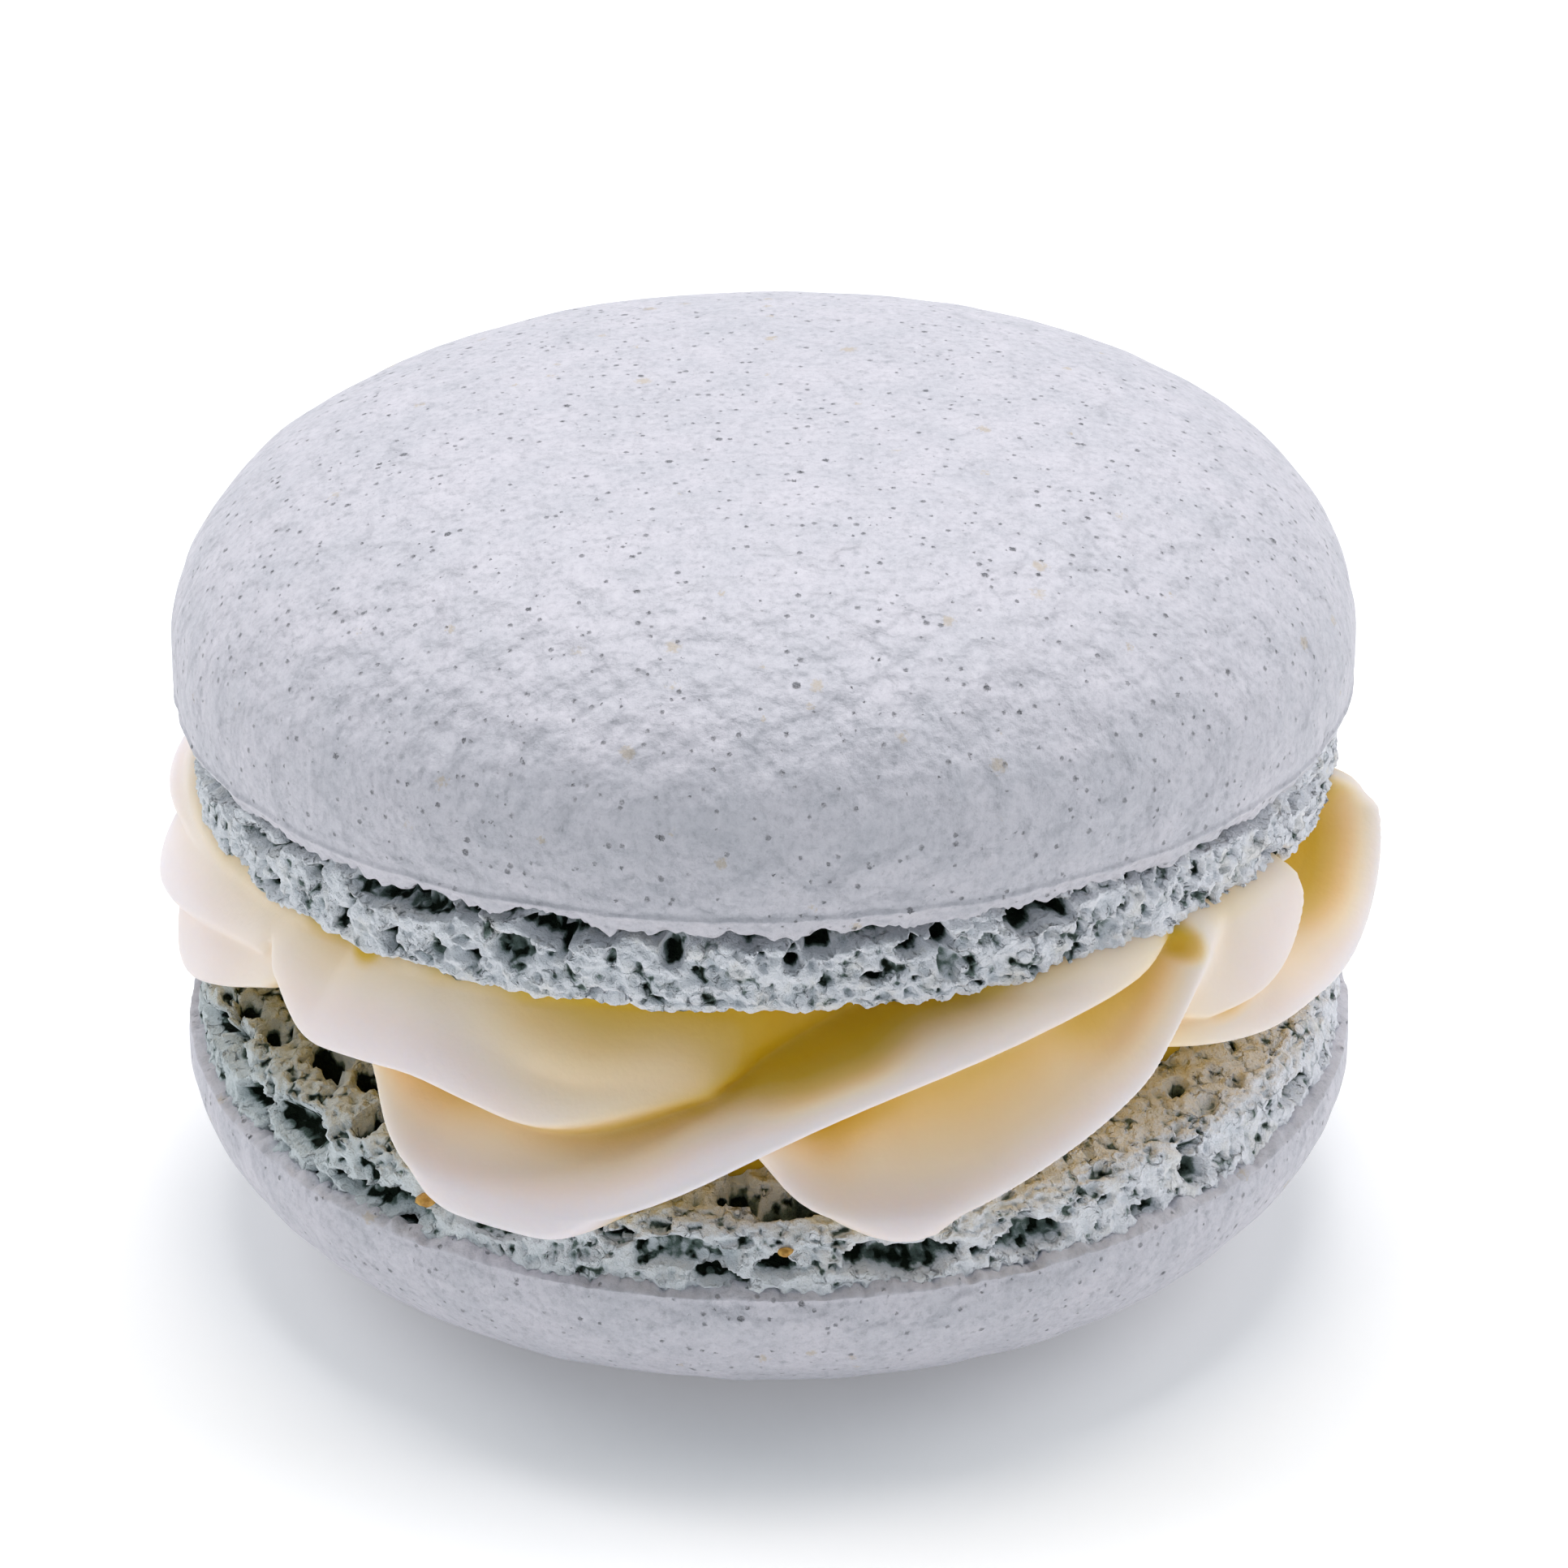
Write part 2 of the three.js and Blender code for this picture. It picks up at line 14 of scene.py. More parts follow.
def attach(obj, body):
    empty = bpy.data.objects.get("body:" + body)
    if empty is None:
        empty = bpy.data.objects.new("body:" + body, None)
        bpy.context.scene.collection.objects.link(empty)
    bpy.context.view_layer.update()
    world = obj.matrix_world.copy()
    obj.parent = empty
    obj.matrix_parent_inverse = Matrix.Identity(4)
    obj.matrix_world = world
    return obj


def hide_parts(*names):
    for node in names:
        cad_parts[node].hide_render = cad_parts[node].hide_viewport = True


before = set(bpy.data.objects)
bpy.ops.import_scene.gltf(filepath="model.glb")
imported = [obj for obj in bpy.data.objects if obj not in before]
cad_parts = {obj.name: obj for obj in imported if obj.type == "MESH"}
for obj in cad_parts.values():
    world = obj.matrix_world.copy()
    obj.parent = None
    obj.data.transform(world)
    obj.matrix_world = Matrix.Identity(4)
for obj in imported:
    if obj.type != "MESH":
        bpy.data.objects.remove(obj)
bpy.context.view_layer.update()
MM = 0.001

# ---- The two halves. Heights are from the rim, where the smooth skin ends and the foot begins ----
# Hollows that show in each foot: [angle, depth below the rim, width, height, depth inwards]
TOP_HOLLOWS = [
    [-155, 0.8, 5.6, 0.7, 0.5], [-142, 0.9, 1.7, 1, 0.9], [-127, 1.3, 4.6, 1.2, 1.4],
    [-116, 0.9, 3.4, 0.6, 0.8], [-114.5, 2.2, 1.5, 1.1, 0.8], [-98.5, 1.4, 1.2, 1.6, 0.9],
    [-92, 1, 2.2, 0.8, 0.8], [-83.5, 1.2, 1.7, 1, 0.8], [-63, 1.4, 2.8, 1.2, 1.8],
    [-42, 0.9, 2, 0.7, 0.8], [-33, 0.9, 2.3, 1.1, 0.9],
]
BOTTOM_HOLLOWS = [
    [-158, 1.9, 2.4, 1.2, 1.5], [-143, 1.7, 3.4, 1.8, 1.3], [-94.5, 0.6, 1.9, 0.7, 1],
    [-89, 1.1, 1.6, 0.6, 1], [-81, 1.2, 1.6, 1.1, 1.6], [-65, 1.6, 1, 0.7, 0.9],
    [-51, 0.7, 1.2, 0.8, 0.8],
]
# Hollows in the inner face of the lower half: [angle, radius, width, breadth, depth]
FACE_HOLLOWS = [
    [-148, 18, 2.6, 1.3, 2], [-141, 17.6, 1.8, 1.3, 2], [-135, 19, 1.1, 2.2, 2],
    [-163, 19.2, 1.6, 0.9, 0.8], [-93, 18.4, 1.8, 1.4, 1.1], [-87, 18.8, 3.4, 1.6, 1.1],
]
# Hollows by a rule on the hidden side, with the least and the most width, height and depth inwards. The most
# depth below the rim is a share of the foot's height.
HIDDEN = Values(
    arc=[-20, 195], count=12, jitter=[0.2, 0.6], least_drop=0.8, drop_share=0.55,
    measures=[[1.2, 4.2], [0.6, 1.3], [0.7, 1.5]],
)
# lip: least and most that the skin hangs below the rim; recess: how far the foot stands back behind it;
# turned: -1 for the half that lies upside down, whose local angles run the other way; cave_from: the noise
# that opens a cave, in plain crumb and where caves are likely; greyer: how grey airy crumb is
TOP = Values(
    name="top_shell", rim_radius=20.9, widest=21.0, widest_at=1.06, dome_height=8.84, dome_side=3.13,
    dome_crest=2.24, flat_spot=0.0, foot_height=3.92, foot_radius=20.5, foot_lean=0.1, foot_edge=0.5,
    lip=[0.5, 0.9], recess=0.55, crumb=0.8, ragged=0.3, cave_from=[0.5, 0.12], face_slope=0.0, face_width=1.5,
    seed=3, turned=1, greyer=0.35, hollows=TOP_HOLLOWS, face_hollows=[],
)
BOTTOM = Values(
    name="bottom_shell", rim_radius=21.05, widest=21.15, widest_at=0.83, dome_height=6.8, dome_side=4.0,
    dome_crest=1.72, flat_spot=9.5, foot_height=2.8, foot_radius=21.0, foot_lean=0.45, foot_edge=1.2,
    lip=[0.1, 0.35], recess=0.1, crumb=0.55, ragged=0.1, cave_from=[0.8, 0.42], face_slope=0.22,
    face_width=4.2, seed=11, turned=-1, greyer=1.0, hollows=BOTTOM_HOLLOWS, face_hollows=FACE_HOLLOWS,
)
TOP_PLACE = Values(x=-0.2, y=0.15, rim_height=20.87, pitch=-0.05, roll=-0.016)
FACE_INNER = 15.0  # an inner face that slopes rises towards the middle as far in as this radius
LIP_WAVES = 90  # waves of the skin's ragged lower edge, with finer ones on them
LIP_FINER = [Values(times=4, row=3, seed=5, height=0.26), Values(times=11, row=6, seed=6, height=0.14)]

# ---- The filling, drawn on a band of nominal height between two planes close to the faces of the halves ----
BAND = 7.9
BAND_CEILING = 3.6  # below the rim of the upper half
UNROLL_RADIUS = 20.0  # angles are unrolled into millimetres on this radius
# The plain core behind the ridges: its reach, the height where it reaches furthest, and its rounding
CORE = Values(reach=17.5, middle=5.0, round=6.0)
UNFELT = CORE.reach - 4.0  # a radius too small to be felt
CREASE = 0.1  # how softly ridges meet
# The foot of the upper half presses the cream in, the more the closer to it.
PRESS = Values(reach=20.0, slope=2.2, soft=0.25)
SPREAD = 10.0  # how slowly a ridge falls away beyond its sides
RIDGE_STEPS = 36
RIDGE_BLEND = 1.0  # how softly the stretches of a ridge's line are blended
RIDGE_REACH = 9.0  # how far a ridge is felt beyond its ends
CREST_SOFT = 0.4  # its side above the crest passes into the side below over this much each way
# A ridge is the half-width of its fall below the crest, and a smooth line through a few points of [angle,
# height on the band, reach of the crest, fall above it, half-width of that fall, fall below it].
FRONT_RIDGES = [
    (1.2, [
        [-214, 5.8, 21.5, 1.2, 1.2, 1], [-200, 6.2, 21.9, 1.2, 1.2, 1], [-185, 6.4, 21.7, 1.2, 1.2, 1],
        [-172, 6.8, 21, 1.2, 1.2, 1.6], [-158, 7.4, 20.3, 1.2, 1.2, 5],
    ]),
    (2, [
        [-214, 2.6, 21.5, 1, 1.8, 4], [-195, 2.8, 21.9, 1, 1.8, 4], [-180, 3.3, 21.9, 1, 1.8, 4],
        [-168, 4.4, 21.7, 1, 1.8, 4], [-158, 5.3, 21.3, 1, 1.8, 5], [-148, 5.8, 20.7, 1, 1.8, 7],
    ]),
    (0.8, [
        [-214, 0.6, 21, 0.2, 2.5, 6], [-190, 0.7, 21.2, 0.2, 2.5, 6], [-174, 1, 21.3, 0.2, 2.5, 6],
        [-164, 1.7, 21.4, 0.2, 2.5, 6], [-156, 2.8, 21.3, 0.2, 2.5, 6], [-147, 4.2, 20.6, 0.2, 2.5, 7],
    ]),
    (1, [
        [-144, 5.4, 20.7, 1.6, 3, 8], [-141, 4.6, 21.2, 1.9, 3, 8], [-137, 4, 21.5, 2, 3, 8],
        [-131, 4.2, 21.6, 2, 3, 7], [-124, 4.4, 21.6, 2.1, 3, 4.5], [-118, 3.9, 21.4, 2.1, 3, 3],
        [-113, 3.4, 21.1, 2, 3, 2.2], [-108, 3.5, 20.7, 2, 3, 1.8], [-102, 4, 20.2, 2, 3, 1.6],
        [-96, 4.6, 19.7, 1.8, 3, 1.6],
    ]),
    (2, [
        [-120, 5.6, 20.7, 1.8, 3, 1.8], [-108, 5, 20.4, 1.8, 3, 1.8], [-98, 5.3, 19.7, 1.8, 3, 1.8],
        [-90, 6.2, 19, 1.6, 3, 1.8], [-80, 7.6, 18.4, 1, 3, 1.8],
    ]),
    (0.9, [
        [-131, 3.6, 20.2, 1.6, 1.3, 7], [-128, 1.7, 21.1, 1.7, 1.3, 7], [-124, 0.5, 21.6, 1.8, 1.3, 7],
        [-118, 0, 21.9, 2, 1.3, 6.5], [-111, 0, 22.1, 2.4, 1.3, 6], [-104, 0.8, 22.1, 3.2, 1.2, 5.5],
        [-98, 1.9, 22.1, 4, 1.2, 5], [-91, 3.4, 22, 4.7, 1.2, 4.5], [-84, 4.7, 22, 4.9, 1.2, 3.8],
        [-76, 5.7, 21.8, 4.6, 1.1, 3], [-64, 6.7, 21.4, 4, 1.1, 2.4], [-54, 7.4, 21.1, 2.4, 1.2, 2.2],
        [-48, 8.1, 20.6, 2, 1.4, 2.6],
    ]),
    (0.7, [
        [-91, 2.4, 19.9, 1.2, 1.2, 7], [-87, 1, 20.9, 1.3, 1.2, 7], [-82, 0.4, 21.5, 1.4, 1.2, 7],
        [-75, 0.3, 21.8, 1.5, 1.3, 7], [-64, 1.9, 21.9, 1.6, 1.3, 7], [-55, 3.6, 21.8, 1.7, 1.1, 6],
        [-51.5, 4.8, 21.6, 1.9, 0.9, 3.5], [-48.5, 6, 21.4, 2.1, 0.75, 1],
        [-45.5, 7.2, 21.1, 2.4, 0.7, 0.6], [-42.5, 8.6, 20.8, 2.4, 0.7, 0.6],
    ]),
    (0.6, [
        [-43.5, 4.4, 20.3, 0.3, 3, 3], [-41.5, 4.4, 20.8, 0.3, 3, 3],
        [-39.5, 4.5, 21.1, 0.3, 3, 3], [-36.5, 4.8, 21.3, 0.3, 3, 3],
        [-33, 5.6, 21.3, 0.4, 3, 3.4], [-30.5, 7, 21.2, 0.4, 3, 3.8], [-29.8, 9, 21, 0.4, 3, 3.8],
    ]),
    (0.9, [
        [-50, 3.8, 19.6, 0.6, 1.2, 6], [-45, 3.4, 20.6, 0.6, 1.2, 6], [-36, 2.9, 21.2, 0.8, 1.2, 6],
        [-29, 3, 21.6, 2, 1, 6], [-21, 3.2, 21.8, 3, 0.9, 6], [-14, 4.3, 21.9, 3.6, 0.8, 5],
        [-9.5, 6.2, 21.9, 3.6, 0.8, 5], [-8, 8.6, 21.3, 3.2, 0.8, 5],
    ]),
]
# The same ruffles carry on round the hidden side, each like the one before.
BACK_RIDGES = Values(first=4, last=124, count=5, below_width=0.9, seed=7, shift=8, lift=1.2, shrink=0.4)
BACK_SHAPE = [
    [0, 1.9, 20.4, 1.3, 1.6, 6], [7, 0.6, 21.5, 1.3, 1.6, 6], [18, 0.5, 22, 1.6, 1.5, 6],
    [34, 3.2, 22, 2.6, 1.2, 5], [48, 6, 21.7, 3.2, 0.9, 2], [60, 8.6, 21, 3, 0.9, 1.6],
]

# ---- The camera, fitted to the outline of the halves ----
CAMERA_TARGET = [0.5, 0.0, 16.0]
CAMERA_DISTANCE = 230.0
CAMERA_ELEVATION = 0.485  # radians
FOCAL_PIXELS = 7945.0
PHOTO_PIXELS = 1932
SENSOR = 36.0
CLIP_START = 0.01  # metres


# ---- Noise ----
CELL_PRIMES = [73856093, 19349663, 83492791]
SEED_PRIME = 2654435761
MIX, SHIFT, LOW_BITS = np.uint64(0x45D9F3B), np.uint64(16), np.uint64(0xFFFFFFFF)


def scatter(i, j, seed):
    """A number from 0 to 1 that is always the same for the same whole numbers and seed."""
    s = np.sin(i * 127.1 + j * 311.7 + seed * 74.7) * 43758.5453
    return s - np.floor(s)


def ease(t):
    return t * t * (3 - 2 * t)


def lerp(a, b, t):
    return a + (b - a) * t


def smoothstep(low, high, value):
    """0 at low, 1 at high and smooth between; low may be the greater."""
    return ease(np.clip((value - low) / (high - low), 0, 1))


def ring_noise(angle, height, waves, seed):
    """Smooth noise from 0 to 1 round the foot: this many waves of it fit the full turn."""
    a = np.mod(angle / 360 * waves, waves)
    i, j = np.floor(a), np.floor(height)
    u, v = ease(a - i), ease(height - j)
    after = np.mod(i + 1, waves)
    low = lerp(scatter(i, j, seed), scatter(after, j, seed), u)
    high = lerp(scatter(i, j + 1, seed), scatter(after, j + 1, seed), u)
    return lerp(low, high, v)


def lattice(cell, seed):
    """Random numbers from 0 to 1 for whole-number cells, an array of three-part rows."""
    x, y, z = (cell[..., k] * CELL_PRIMES[k] for k in range(3))
    h = (x ^ y ^ z ^ (seed * SEED_PRIME)).astype(np.uint64) & LOW_BITS
    for _ in range(2):
        h = ((h >> SHIFT) ^ h) * MIX & LOW_BITS
    h = (h >> SHIFT) ^ h
    return h.astype(np.float64) / 2**32


CORNERS = np.array([[i, j, k] for i in (0, 1) for j in (0, 1) for k in (0, 1)])
NEIGHBOURS = np.array([[i, j, k] for i in (-1, 0, 1) for j in (-1, 0, 1) for k in (-1, 0, 1)])


def noise(points, size, seed):
    """Smooth noise from -1 to 1 whose lumps are about size across."""
    scaled = points / size
    cell = np.floor(scaled).astype(np.int64)
    part = ease(scaled - cell)
    total = np.zeros(points.shape[:-1])
    for corner in CORNERS:
        weight = np.prod(np.where(corner == 1, part, 1 - part), axis=-1)
        total += weight * lattice(cell + corner, seed)
    return total * 2 - 1


def rough(points, size, octaves, seed):
    """Noise with finer and finer detail on it."""
    return sum(noise(points, size / 2**k, seed + 17 * k) / 2**k for k in range(octaves))


def cells(points, size, seed):
    """Distance, in cell sizes, to the nearest of a set of scattered points: from 0 at a point to 1."""
    scaled = points / size
    cell = np.floor(scaled).astype(np.int64)
    nearest = np.full(points.shape[:-1], np.inf)
    for neighbour in NEIGHBOURS:
        there = cell + neighbour
        spot = there + np.stack([lattice(there, seed + k) for k in (1, 2, 3)], axis=-1)
        nearest = np.minimum(nearest, np.sum((spot - scaled) ** 2, axis=-1))
    return np.minimum(np.sqrt(nearest), 1)


# ---- Shapes shared by the skins and the feet ----
def dome_height_at(half, radius):
    share = 1 - (radius / half.widest) ** half.dome_side
    return half.widest_at + half.dome_height * np.maximum(0, share) ** (1 / half.dome_crest)


BOTTOM_RIM = float(dome_height_at(BOTTOM, BOTTOM.flat_spot))  # its height above the flat spot


def rotation(axis, angle):
    """The matrix of a turn, in radians, about axis 0, 1 or 2."""
    i, j = (axis + 1) % 3, (axis + 2) % 3
    matrix = np.eye(3)
    matrix[i, i] = matrix[j, j] = math.cos(angle)
    matrix[i, j], matrix[j, i] = -math.sin(angle), math.sin(angle)
    return matrix


def place(half, points):
    """Local millimetres of a half, dome up, to millimetres of the whole."""
    if half is BOTTOM:
        return points * [1, -1, -1] + [0, 0, BOTTOM_RIM]
    tilt = rotation(1, TOP_PLACE.roll) @ rotation(0, TOP_PLACE.pitch)
    return points @ tilt.T + [TOP_PLACE.x, TOP_PLACE.y, TOP_PLACE.rim_height]


def from_polar(r, turn, z):
    """Points at radius r and height z, in the direction turn in radians."""
    return np.stack(np.broadcast_arrays(r * np.cos(turn), r * np.sin(turn), z), axis=-1)


def ring_angles(columns):
    """The angle of each column of a ring."""
    return np.arange(columns) * 360 / columns - 180


def turn_between(a, b):
    """The angle from b to a, from -180 to 180."""
    return np.mod(a - b + 180, 360) - 180


def face_edge(half):
    """The radius where the inner face of a half begins."""
    return half.foot_radius - half.foot_lean - half.foot_edge


def face_rise(half, r):
    """How far the inner face of a half stands beyond its edge, towards the other half."""
    return half.face_slope * np.maximum(0, face_edge(half) - np.maximum(r, FACE_INNER))


def lip_drop(half, angle):
    """How far the skin's ragged lower edge hangs below the rim."""
    drop = lerp(*half.lip, ring_noise(angle, 0, LIP_WAVES, half.seed))
    for finer in LIP_FINER:
        wave = ring_noise(angle, finer.row, LIP_WAVES * finer.times, half.seed + finer.seed)
        drop = drop + finer.height * (wave - 0.5)
    return drop


def hollows_of(half):
    """All hollows of a foot: [local angle, length down the foot, width, height, depth inwards]."""
    hidden = []
    for i in range(HIDDEN.count):
        along, drop, *draws = (scatter(i, k, half.seed) for k in range(1, 6))
        along = i + HIDDEN.jitter[0] + HIDDEN.jitter[1] * along
        hidden.append([
            lerp(*HIDDEN.arc, along / HIDDEN.count),
            lerp(HIDDEN.least_drop, half.foot_height * HIDDEN.drop_share, drop),
            *(lerp(*limits, draw) for limits, draw in zip(HIDDEN.measures, draws)),
        ])
    face_start = half.foot_height + half.foot_edge * (math.pi / 2 - 1)
    on_face = [[at, face_start + face_edge(half) - radius, *rest] for at, radius, *rest in half.face_hollows]
    return [[at * half.turned, *rest] for at, *rest in half.hollows + on_face] + hidden


# ---- Meshes ----
def revolve(grid, first_pole, last_pole):
    """Points and faces of a closed body from rows of rings, with a pole at each end."""
    rows, columns = grid.shape[:2]
    points = np.vstack([[first_pole], grid.reshape(-1, 3), [last_pole]])
    here = 1 + np.arange(rows * columns).reshape(rows, columns)
    beside = np.roll(here, -1, axis=1)
    quads = np.stack([here[:-1], here[1:], beside[1:], beside[:-1]], axis=-1).reshape(-1, 4)
    first = np.stack([np.zeros(columns, int), here[0], beside[0]], axis=-1)
    last = np.stack([np.full(columns, len(points) - 1), beside[-1], here[-1]], axis=-1)
    return points, quads.tolist() + first.tolist() + last.tolist()


def join(bodies):
    """Points and faces of several bodies as one."""
    points, faces = [], []
    for body_points, body_faces in bodies:
        start = sum(map(len, points))
        faces += [[i + start for i in face] for face in body_faces]
        points.append(body_points)
    return np.vstack(points), faces


def per_point(field, shape, poles=(0, 0)):
    """The values of a field on the rings for each point of a revolved body."""
    return np.concatenate([[poles[0]], np.broadcast_to(field, shape).ravel(), [poles[1]]])


def add_object(name, data):
    thing = bpy.data.objects.new(name, data)
    bpy.context.scene.collection.objects.link(thing)
    return thing


def make_piece(name, node, points, faces, material, attributes=None):
    mesh = bpy.data.meshes.new(name)
    mesh.from_pydata((points * MM).tolist(), [], faces)
    for label, values in (attributes or {}).items():
        mesh.attributes.new(label, "FLOAT", "POINT").data.foreach_set("value", np.asarray(values, np.float32))
    mesh.polygons.foreach_set("use_smooth", [True] * len(mesh.polygons))
    mesh.materials.append(material)
    mesh.update()
    piece = add_object(name, mesh)
    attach(piece, "root")
    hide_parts(node)
    return piece


# ---- Skin: the smooth dome and its ragged lip ----
SKIN_GRID = 250  # squares across the dome
SKIN_RELIEF = [Values(size=9.0, height=0.12), Values(size=2.4, height=0.08), Values(size=1.2, height=0.08)]
SHOULDER = Values(least=0.35, more=0.75, span=[0.45, 0.75])  # the relief is weak near the crest
SLOPE_STEP = 0.004  # share of the profile over which its slope is measured each way
LIP_ROWS = 9
LIP_BEAD = Values(height=0.07, drop=0.1, width=0.13)
LIP_CRUMBLE = Values(height=0.1, size=0.5, octaves=2)
LIP_TURN_IN = 0.3
LIP_BACK = [[0.2, -0.05], [0.45, 0.1], [0.7, 0.6], [2.5, 1.5]]  # steps behind the lip: [inwards, upwards]
SKIN_UNDERSIDE = 0.9


def disc_grid(count):
    """A square grid pulled into a disc: polar angle, share of the radius, faces, and the ids of its rim."""
    line = np.linspace(-1, 1, count + 1)
    a, b = np.meshgrid(line, line, indexing="ij")
    wide = np.abs(a) > np.abs(b)
    with np.errstate(divide="ignore", invalid="ignore"):
        angle = np.where(wide, math.pi / 4 * b / a, math.pi / 2 - math.pi / 4 * a / b)
    share = np.where(wide, a, b)
    angle = np.where((a == 0) & (b == 0), 0, angle)
    x, y = share * np.cos(angle), share * np.sin(angle)
    ids = np.arange((count + 1) ** 2).reshape(count + 1, count + 1)
    quads = np.stack([ids[:-1, :-1], ids[1:, :-1], ids[1:, 1:], ids[:-1, 1:]], axis=-1).reshape(-1, 4)
    rim = np.concatenate([ids[0, :-1], ids[:-1, -1], ids[-1, :0:-1], ids[:0:-1, 0]])
    polar = np.degrees(np.arctan2(y, x)).ravel()
    return polar, np.hypot(x, y).ravel(), quads, rim[np.argsort(polar[rim])]


def dome_profile(half, steps=400):
    """Radius and height of the dome from its crest over the widest part to the rim, evenly spaced."""
    turn = np.linspace(math.pi / 2, 0, steps)
    radius = half.widest * np.maximum(0, np.cos(turn)) ** (2 / half.dome_side)
    height = dome_height_at(half, radius)
    tuck = np.linspace(0, 1, steps // 8)[1:]
    radius = np.append(radius, half.widest - (half.widest - half.rim_radius) * tuck**2)
    height = np.append(height, half.widest_at * (1 - tuck))
    if half.flat_spot:
        height = np.minimum(height, dome_height_at(half, half.flat_spot))
    length = np.append(0, np.cumsum(np.hypot(np.diff(radius), np.diff(height))))
    return length / length[-1], radius, height


def skin_points(half, polar, share):
    length, radius, height = dome_profile(half)
    r, z = np.interp(share, length, radius), np.interp(share, length, height)
    turn = np.radians(polar)
    points = from_polar(r, turn, z)
    ahead, behind = np.minimum(share + SLOPE_STEP, 1), np.maximum(share - SLOPE_STEP, 0)
    dr = np.interp(ahead, length, radius) - np.interp(behind, length, radius)
    dz = np.interp(ahead, length, height) - np.interp(behind, length, height)
    slope = np.hypot(dr, dz)
    normal = from_polar(-dz / slope, turn, dr / slope)
    relief = sum(
        layer.height * (noise(points, layer.size, half.seed + 31 * k) - 1) / 2
        for k, layer in enumerate(SKIN_RELIEF)
    )
    strength = SHOULDER.least + SHOULDER.more * smoothstep(*SHOULDER.span, share)
    return points + normal * (relief * strength)[:, None]


def make_skin(half, material):
    polar, share, quads, rim = disc_grid(SKIN_GRID)
    dome = skin_points(half, polar, share)
    angle, edge = polar[rim], dome[rim]
    rim_r, rim_z = np.hypot(edge[:, 0], edge[:, 1]), edge[:, 2]
    turn = np.radians(angle)
    drop = lip_drop(half, angle)
    rows = []
    for i in range(1, LIP_ROWS + 1):
        t = i / LIP_ROWS
        bead = LIP_BEAD.height * np.exp(-(((t * drop - LIP_BEAD.drop) / LIP_BEAD.width) ** 2))
        crumble = rough(
            from_polar(rim_r, turn, rim_z - drop * t), LIP_CRUMBLE.size, LIP_CRUMBLE.octaves, half.seed + 40,
        )
        r = rim_r + bead - LIP_TURN_IN * t**2 + LIP_CRUMBLE.height * t * crumble
        rows.append([r, rim_z - drop * t])
    lip_r, lip_z = rows[-1]
    rows += [[lip_r - inwards, lip_z + upwards] for inwards, upwards in LIP_BACK]
    lip = np.array([from_polar(r, turn, z) for r, z in rows])
    points = np.vstack([dome, lip.reshape(-1, 3), [[0, 0, SKIN_UNDERSIDE]]])
    ids = np.vstack([rim, len(dome) + np.arange(lip[..., 0].size).reshape(len(rows), -1)])
    beside = np.roll(ids, -1, axis=1)
    walls = np.stack([ids[:-1], ids[1:], beside[1:], beside[:-1]], axis=-1).reshape(-1, 4)
    floor = np.stack([np.full(len(rim), len(points) - 1), beside[-1], ids[-1]], axis=-1)
    faces = quads.tolist() + walls.tolist() + floor.tolist()
    name = half.name.replace("shell", "skin")
    return make_piece(name, half.name, place(half, points), faces, material)


# ---- Foot: the porous side and inner face. Each noise has its own offset from the half's seed ----
FOOT_COLUMNS = 1320
FOOT_STEP = 0.09
FACE_STEP = 0.15
FOOT_HIDDEN_TOP = 0.5  # how far the foot reaches up behind the lip
FACE_FADE = 0.3  # share of the rows, from the inner end of the face, over which the relief grows
AIRY_AT = -165  # the direction in which the crumb is most open and darkest
CREAM_NEAR = [-0.5, 2.0]  # the crumb near the cream, by length past the start of the rounded edge
WANDER = Values(size=0.9, octaves=3, reach=0.2)
RECESS = Values(least=0.25, more=1.1, row=9, waves=70, curve=1.5, fade=[0.1, 0.6])
BEHIND_LIP = Values(depth=0.45, fade=[-0.4, 0.0])
SWELLS = Values(size=1.9, depth=0.22)
CRUMB_WANDER = Values(size=0.5, octaves=2, reach=0.12)
GRAINS = [Values(size=0.75, depth=0.36, seed=52), Values(size=0.4, depth=0.27, seed=56)]
FINE_CRUMB = Values(size=0.26, depth=0.06)
# Irregular hollows, in a band below the lip of the upper half and in the airy crumb of the lower half
CAVES = Values(size=0.9, octaves=3, stretch=2, depth=1.3, soft=0.35, band=[0.05, 0.3], band_end=[0.78, 1.69])
PORES = [Values(count=110, small=0.24, large=0.48), Values(count=2600, small=0.09, large=0.22)]
PORE_SINK = [-0.2, 0.7]  # how deep the middle of a pore lies, in shares of its radius
PORE_SQUASH = [0.6, 1.4]
PORE_MARGIN = 0.25  # a little more than the wander
PIT = Values(wide=8, narrow=3, narrow_share=0.8)  # rows and columns averaged to find what is a pit
# The foot's edge is ragged from the first span to the second, by length past the start of its rounding.
RAGGED = Values(spans=[[-0.8, 0.3], [2.4, 1.2]], flatten=0.4)
EDGE_LUMPS = [Values(size=0.7, share=1.0, seed=80), Values(size=0.35, share=0.4, seed=84)]


def foot_profile(half):
    """Radius, height and outward direction along the foot, with the length from the rim's height."""
    round_off = half.foot_edge
    side = half.foot_height - round_off + FOOT_HIDDEN_TOP
    curve = round_off * math.pi / 2
    face = np.arange(side + curve, side + curve + half.face_width, FACE_STEP)
    length = np.append(np.arange(0, side + curve, FOOT_STEP), face)
    turn = np.clip((length - side) / round_off, 0, math.pi / 2)
    r = half.foot_radius - round_off + round_off * np.cos(turn) - np.maximum(0, length - side - curve)
    r = r - half.foot_lean * np.clip(length / side, 0, 1)
    down = np.minimum(length, side) - FOOT_HIDDEN_TOP + round_off * np.sin(turn) + face_rise(half, r)
    return length - FOOT_HIDDEN_TOP, r, -down, np.cos(turn), -np.sin(turn)


